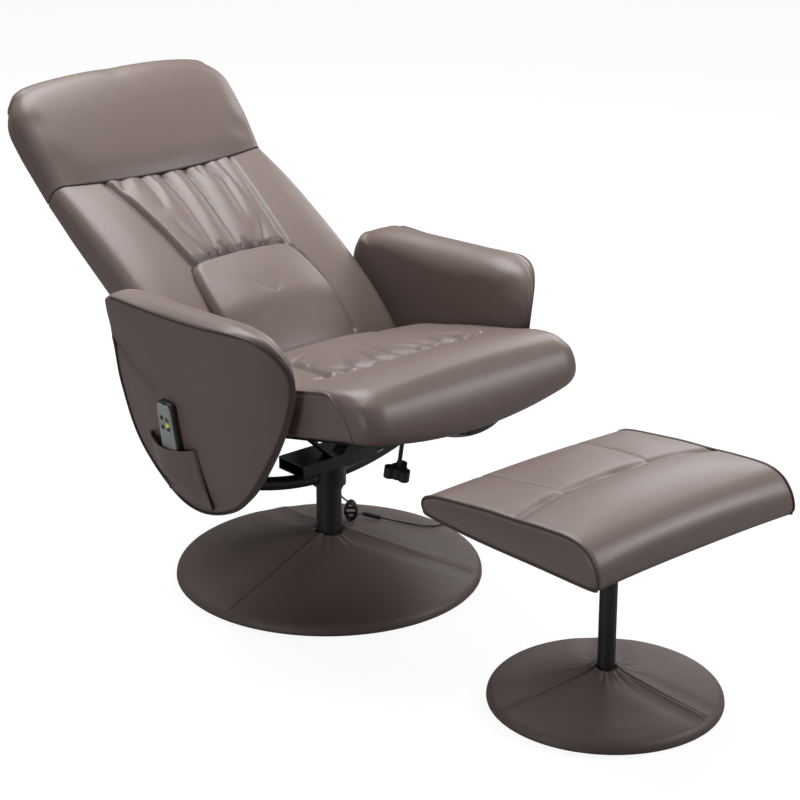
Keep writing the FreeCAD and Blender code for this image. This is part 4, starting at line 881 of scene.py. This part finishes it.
def arm_grid():
    """Rings from the middle of the outer face, over its edge, across the width and in to the inner face."""
    inner = 262.0
    full = arm_outline()
    normal = outward(full)
    above = ease(normal[:, 1] - 0.1, 0.7)
    ahead = ease(-normal[:, 0] - 0.3, 0.5)
    crest = above * smooth_fit(full[:, 0], [-240, -189, -142, -70, 17, 97, 153, 200],
                               [4, 5, 9, 13, 14, 9, 5, 2])
    outline = full - normal * crest[:, None]
    middle = np.array([-20.0, 420.0])
    inwards = unit(middle - full)
    rings = []
    for share in np.linspace(0.03, 0.985, ARM_FACE_RINGS):
        loop = middle + (outline - middle) * share
        rings.append(ring_at(arm_outer(loop) + 5 * (1 - share ** 2) - 1, loop))
    outer = arm_outer(outline)
    inset = 24 + 28 * above + 10 * ahead
    deep = np.minimum(inset, 0.7 * (outer - inner))
    for share in np.linspace(0, 1, 18):
        loop = outline + normal * (3.0 * math.sin(math.pi * share) ** 0.7 + crest * share)[:, None]
        rings.append(ring_at(outer - 2 + (inner + deep - outer + 2) * share, loop))
    for angle in np.linspace(0, np.pi / 2, 14)[1:]:
        loop = full + inwards * (inset * (1 - math.cos(angle)))[:, None]
        rings.append(ring_at(inner + deep * (1 - math.sin(angle)), loop))
    rim = full + inwards * inset[:, None]
    for share in (0.05, 0.12, 0.2, 0.35, 0.5, 0.65, 0.8, 0.92):
        rings.append(ring_at(inner - 2.0 * (1 - (1 - share) ** 2), rim + (middle - rim) * share))
    grid = np.stack(rings)
    x, y, z = np.moveaxis(grid, -1, 0)
    across = ease(1.3 * (outer - 4 - x) / (outer - 4 - inner))
    behind = ease(y - 70, 140)
    reach = smooth_fit(np.clip(z, 330, 590), [330, 400, 460, 515, 545, 568, 590],
                       [0, 34, 54, 54, 27, 6, 0])
    z += 7 * bell(y - 130, 75) * ease(z - 500, 70) * across
    y += reach * across * behind
    return grid, outline, outer


POCKET_SLIT = [(206, 494), (175, 479), (140, 462), (105, 446), (84, 430), (66, 416)]


def slit_dip_and_shade(shape):
    """Dip of the pocket's slit in the outer face, moving its x; the slit's dark line, painted shade in the
    slit, is returned.
    """
    y, z = shape[..., 1], shape[..., 2]
    face = np.zeros(shape.shape[:2])
    face[:ARM_FACE_RINGS] = 1
    slit = line_distance(shape[..., 1:], POCKET_SLIT)
    below = ease(np.interp(y, [66, 105, 175, 206], [416, 446, 479, 494]) - z, 3)
    near = face * bell(slit, 16) * ease(y - 62, 20)
    shape[..., 0] += near * (3.0 - 6.5 * below)
    # Painted shade along the slit, wider towards the rear.
    return face * 0.9 * bell(slit, 1.6 + 3.4 * ease(y - 110, 70))


def armrests():
    """Stuffed armrests, mirrored but for the slit; the piping sinks in where the cover wraps the rear."""
    grid, outline, outer = arm_grid()
    held = np.zeros(grid.shape[:2], bool)
    held[ARM_FACE_RINGS - 4:ARM_FACE_RINGS + 3] = True
    held[-9:] = True
    grid = stuffed("arm_pad", grid, held, 6)
    wrapped = ease(outline[:, 0] - 182, 12) * ease(outline[:, 1] - 488, 14)
    seam = np.zeros(grid.shape[:2])
    # Dark line beside the piping: mostly painted shade of the seam.
    seam[ARM_FACE_RINGS - 1:ARM_FACE_RINGS + 2] = 0.8 * (1 - wrapped)
    edge = ring_at(outer - 0.8 - 5 * wrapped, outline + outward(outline) * (0.6 - 5 * wrapped)[:, None])
    for sign, side in SIDES[::-1]:
        shape = grid.copy()
        # The right arm's seam lines take the slit's painted shade as well.
        marks = np.maximum(seam, slit_dip_and_shade(shape)) if side == "right" else seam
        piece = closed_piece(side + "_armrest", shape * [sign, 1, 1], marks)
        finished(piece, leather, "seat_unit", "padding", side + "_arm_pad", side + "_arm_panel")
        welt = tube_piece(side + "_arm_piping", edge * [sign, 1, 1], 1.9, True)
        finished(welt, piping, "seat_unit", "padding")


# Pocket and remote control


def on_arm(out, y, z):
    """Points beside the right arm's outer face: distance out of it, y, and height above the floor."""
    down = (z - ARM_TOP) / math.cos(math.radians(ARM_LEAN))
    return placed(ARM_FACE, np.stack([-out, y, down], axis=-1))


def pocket():
    """Pouch sewn on at both sides and below: it swells out between them, most at its sagging mouth."""
    across, down = np.meshgrid(np.linspace(0, 1, 60), np.linspace(0, 1, 56))
    left = np.interp(down, [0, 0.35, 0.7, 1], [112, 108, 98, 78])
    right = np.interp(down, [0, 0.3, 0.7, 1], [-21, -25, -34, -44])
    y = left + (right - left) * across
    arch = np.sin(np.pi * across)
    mouth = 331 - 7 * arch ** 1.5
    floor = 217 + 0.0022 * (y - 8) ** 2
    z = mouth + (floor - mouth) * down
    out = 5.5 + 21 * arch ** 0.55 * (1 - ease(down - 0.5, 0.42)) + 3 * arch * (1 - down)
    i = np.arange(y.size).reshape(y.shape)
    quads = np.stack([i[:-1, :-1], i[1:, :-1], i[1:, 1:], i[:-1, 1:]], axis=-1).reshape(-1, 4)
    edge = np.minimum(np.minimum(across, 1 - across) * 130, (1 - down) * 110)
    piece = new_piece("pocket_pouch", on_arm(out, y, z).reshape(-1, 3), quads.tolist(),
                      seam=0.7 * bell(edge, 1.6))
    walled(piece, 2.4)
    finished(piece, leather, "seat_unit", "upholstery", "remote_pocket")
    finished(tube_piece("pocket_hem", on_arm(out[0], y[0], z[0]), 2.2), leather, "seat_unit", "upholstery")
    for index, name in ((0, "rear"), (-1, "front")):
        line = tube_piece("pocket_seam_" + name, on_arm(out[:, index] + 1, y[:, index], z[:, index]), 1.8)
        finished(line, piping, "seat_unit", "upholstery")


def remote():
    """Handset: a rounded section (a superellipse of power 4) carried down its length, wider at the foot."""
    low, high, middle_y = -330.0, -180.0, 40
    angle = full_turn(72)
    c, s = np.cos(angle), np.sin(angle)
    side = np.sign(c) * np.abs(c) ** 0.5
    deep = np.sign(s) * np.abs(s) ** 0.5
    share = np.r_[np.linspace(0, 0.06, 7), np.linspace(0.09, 0.91, 40), np.linspace(0.94, 1, 7)]
    close = np.clip(np.minimum(share, 1 - share) / 0.06, 0, 1)
    inset = 9 * (1 - np.sqrt(1 - (1 - close) ** 2))
    half = 22 + 5 * ease(share) - inset
    thick = 9.9 - 0.7 * inset
    z = high + (low - high) * share
    grid = np.stack([-10.6 + thick[:, None] * deep, middle_y + half[:, None] * side,
                     np.repeat(z[:, None], len(angle), 1)], axis=-1)
    case = closed_piece("remote_handset", placed(ARM_FACE, grid))
    finished(case, black_plastic, "remote", "black_plastic", "remote_case")
    loop = np.array([(-17, -187), (0, -184), (17, -187), (20, -230), (22, -300), (20, -324), (0, -327),
                     (-20, -324), (-22, -300), (-20, -230)])
    loop = even_line(loop + [middle_y, 0], 96, True)
    middle = loop.mean(axis=0)
    rings = [ring_at(-18.0, loop), ring_at(-20.6, loop)]
    rings += [ring_at(-21.0 - 0.5 * t, loop + (middle - loop) * t) for t in (0.03, 0.2, 0.45, 0.7, 0.9)]
    plate = closed_piece("remote_plate", placed(ARM_FACE, np.stack(rings)))
    finished(plate, silver, "remote", "remote_silver", "remote_face")
    turn = full_turn(24)
    circle = np.c_[np.cos(turn), np.sin(turn)]
    for name, spot, size, colour, glow in (("power_lamp", (34, -222), 4.2, (0.42, 0.5, 0.05), 0.5),
                                           ("level_lamp", (28, -206), 3.2, (0.55, 0.22, 0.18), 0.1)):
        rings = [ring_at(x, spot + size * share * circle)
                 for share, x in ((1, -20.5), (1, -22.0), (0.7, -22.6), (0.3, -22.8))]
        lamp = closed_piece("remote_" + name, placed(ARM_FACE, np.stack(rings)))
        material, tree, shader = node_material("lens_" + name, colour, 0.25)
        fed(tree, shader, Base_Color=mixed(tree, noise(tree, 400.0), shade(colour, 0.8), colour),
            Emission_Color=(*colour, 1), Emission_Strength=glow)
        finished(lamp, material, "remote", "remote_silver")


# Round bases


def base_cover(name, spot, radius, top, flat, hole, seams, body, node):
    """Profile turned about the column: a rolled rim, a straight slope and a soft top; three sewn ridges."""
    rim, rim_top, crown = radius - 12, 24.5, top - 8
    halfway = 0.5 * (radius + flat)
    slope = (crown - rim_top) / (rim - flat)
    profile = even_line([(radius - 5, 4.2), (radius - 0.5, 5), (radius, 9), (radius - 1.2, 15),
                         (radius - 5, 20.5), (rim, rim_top), (radius - 40, rim_top + slope * 28),
                         (halfway, rim_top + slope * (rim - halfway) - 1.5), (flat, crown),
                         (hole + 8, top - 1), (hole, top - 1.5), (hole - 1, top - 6)], 90, False)
    turn = full_turn(360)
    r, z = (np.repeat(profile[:, k:k + 1], len(turn), axis=1) for k in range(2))
    seam = np.zeros_like(r)
    on_slope = ease(radius - 3 - r, 12)
    for degrees in seams:
        away = (turn - math.radians(degrees) + np.pi) % (2 * np.pi) - np.pi
        wide = away * r
        z += on_slope * (2.6 * bell(wide, 7) - 2.4 * bell(wide, 2.2) - 2.0 * bell(np.abs(wide) - 26, 18))
        seam = np.maximum(seam, 0.75 * on_slope * bell(wide, 2.0))
    inner = ease(flat + 45 - r, 45)
    z += inner * 0.7 * (np.sin(11 * turn + 0.8) * np.sin(4 * turn) + 0.5 * np.sin(23 * turn))
    grid = np.stack([r * np.cos(turn), r * np.sin(turn), z], axis=-1)
    quads = ring_quads(np.arange(r.size).reshape(r.shape))
    piece = new_piece(name, placed(spot, grid).reshape(-1, 3), quads.tolist(), seam=seam)
    walled(piece, 3)
    finished(piece, base_leather_and_shade, body, "upholstery", node)


# Footstool

STOOL_HALF = 231.0
STOOL_SIDE = even_line([(188, 336), (203, 345), (206, 356), (198, 367), (170, 376), (110, 384), (50, 391),
                        (-8, 395), (-60, 400), (-125, 403), (-160, 394), (-181, 374), (-190, 350),
                        (-187, 337), (-172, 331), (-60, 331), (80, 331)], 240, True)
STOOL_CROSS = both_sides([(-231, -14), (-150, 6), (-100, 11), (0, 14)])
STOOL_SEAM = np.array([(111, 204), (108, 105), (99, 12)])


def stool_profile(x):
    """Side section: thin rounded rear edge, a top that climbs to the front, and a front that rolls over."""
    share = 1 - (x / STOOL_HALF) ** 2
    y, z = STOOL_SIDE.T
    top = ease(z - 356, 25)
    front = ease(-130 - y, 40) * ease(352 - z, 20)
    return np.c_[y, z + 8 * share * top + 5 * share * front]


def stool_cushion():
    """Stuffed pad with a deep cross seam of changing depth and two shallow side seams."""
    grid = carried(stool_profile, STOOL_HALF - 1, 9.0, -2.0)
    x, _, z = np.moveaxis(grid, -1, 0)
    plan = grid[..., :2]
    upper = ease(z - 352, 14) * ease(228 - np.abs(x), 8)
    cross = line_distance(plan, STOOL_CROSS)
    sides = seam_distance(plan, STOOL_SEAM)
    held = (z < 335) | (upper > 0.5) & (np.minimum(cross, sides) < 4) | (np.abs(x) > 227)
    grid = stuffed("stool_cushion", grid, held, 9)
    fade = 0.75 + 0.25 * np.sin(x * 0.05) * np.sin(x * 0.021 + 1)
    move = -upper * (7.0 * fade * bell(cross, 9) + 1.8 * bell(sides, 4))
    grid = grid + grid_normals(grid) * move[..., None]
    seam = upper * np.maximum(0.5 * bell(cross, 1.8), 0.62 * bell(sides, 1.5))
    piece = closed_piece("stool_cushion_cover", placed(STOOL, grid), seam)
    finished(piece, leather, "stool", "padding", "stool_cushion")
    profile = stool_profile(STOOL_HALF - 1)
    profile = profile - outward(profile)
    for sign, name in SIDES:
        path = placed(STOOL, ring_at(sign * (STOOL_HALF - 4), profile))
        welt = tube_piece("stool_piping_" + name, path, 2.6, True)
        finished(welt, piping, "stool", "padding")


# Floor and light

LAMPS = (("key", (0.2, 1.2, 3.6), (0, -0.2, 0.4), 2.6, 200),
         ("roll", (2.1, -2.5, 2.05), (0, -0.6, 0.4), 1.1, 65),
         ("left", (-3.0, -0.6, 0.55), (0, -0.2, 0.4), 1.0, 19),
         ("rear", (2.6, 1.0, 1.6), (0, -0.2, 0.2), 1.4, 22))


def add_stage():
    """Pale floor that keeps the shadow, a white surround for camera and gloss, and soft lamps."""
    pale, shaded = (0.86,) * 3, (0.25,) * 3
    bpy.ops.mesh.primitive_plane_add(size=40)
    floor = bpy.context.object
    floor.name = "studio_floor"
    floor.location = (0, 0, -0.0006)
    material, tree, shader = node_material("pale_floor", pale, 0.9, 0.1)
    seen = new_node(tree, "LightPath").outputs["Is Camera Ray"]
    fed(tree, shader, Base_Color=mixed(tree, seen, shaded, pale))
    white = new_node(tree, "Emission", Strength=1.08)
    mix = new_node(tree, "MixShader", Fac=ranged(tree, seen, 0.0, 0.85))
    tree.links.new(shader.outputs["BSDF"], mix.inputs[1])
    tree.links.new(white.outputs["Emission"], mix.inputs[2])
    fed(tree, tree.nodes["Material Output"], Surface=mix.outputs["Shader"])
    floor.data.materials.append(material)

    scene.world = bpy.data.worlds.new("studio")
    scene.world.use_nodes = True
    tree = scene.world.node_tree
    seen = new_node(tree, "LightPath").outputs["Is Camera Ray"]
    fed(tree, tree.nodes["Background"], Color=(1, 1, 1, 1), Strength=ranged(tree, seen, 0.16, 1.0))

    for name, spot, aim, size, power in LAMPS:
        lamp = bpy.data.lights.new(name, "AREA")
        lamp.size = size
        lamp.energy = power
        light = bpy.data.objects.new(name, lamp)
        back = unit(np.subtract(spot, aim))
        side = unit(np.cross([0, 0, 1], back))
        light.matrix_world = axes_matrix(side, np.cross(back, side), back, spot)
        scene.collection.objects.link(light)


add_camera()
dress_cad_nodes()
make_leads()
seat_cushion()
back_cushion()
headrest()
lumbar()
back_cover()
armrests()
pocket()
remote()
base_cover("chair_base_upholstery", (np.zeros(3), np.eye(3)), 285.0, 90.0, 58.0, 26.0, (-50, -170, 70),
           "base", "chair_base_cover")
base_cover("stool_base_upholstery", STOOL, 198.0, 67.0, 40.0, 17.5, (-75.5, 44.5, 164.5),
           "stool", "stool_base_cover")
stool_cushion()
add_stage()
scene.view_settings.view_transform = "Standard"
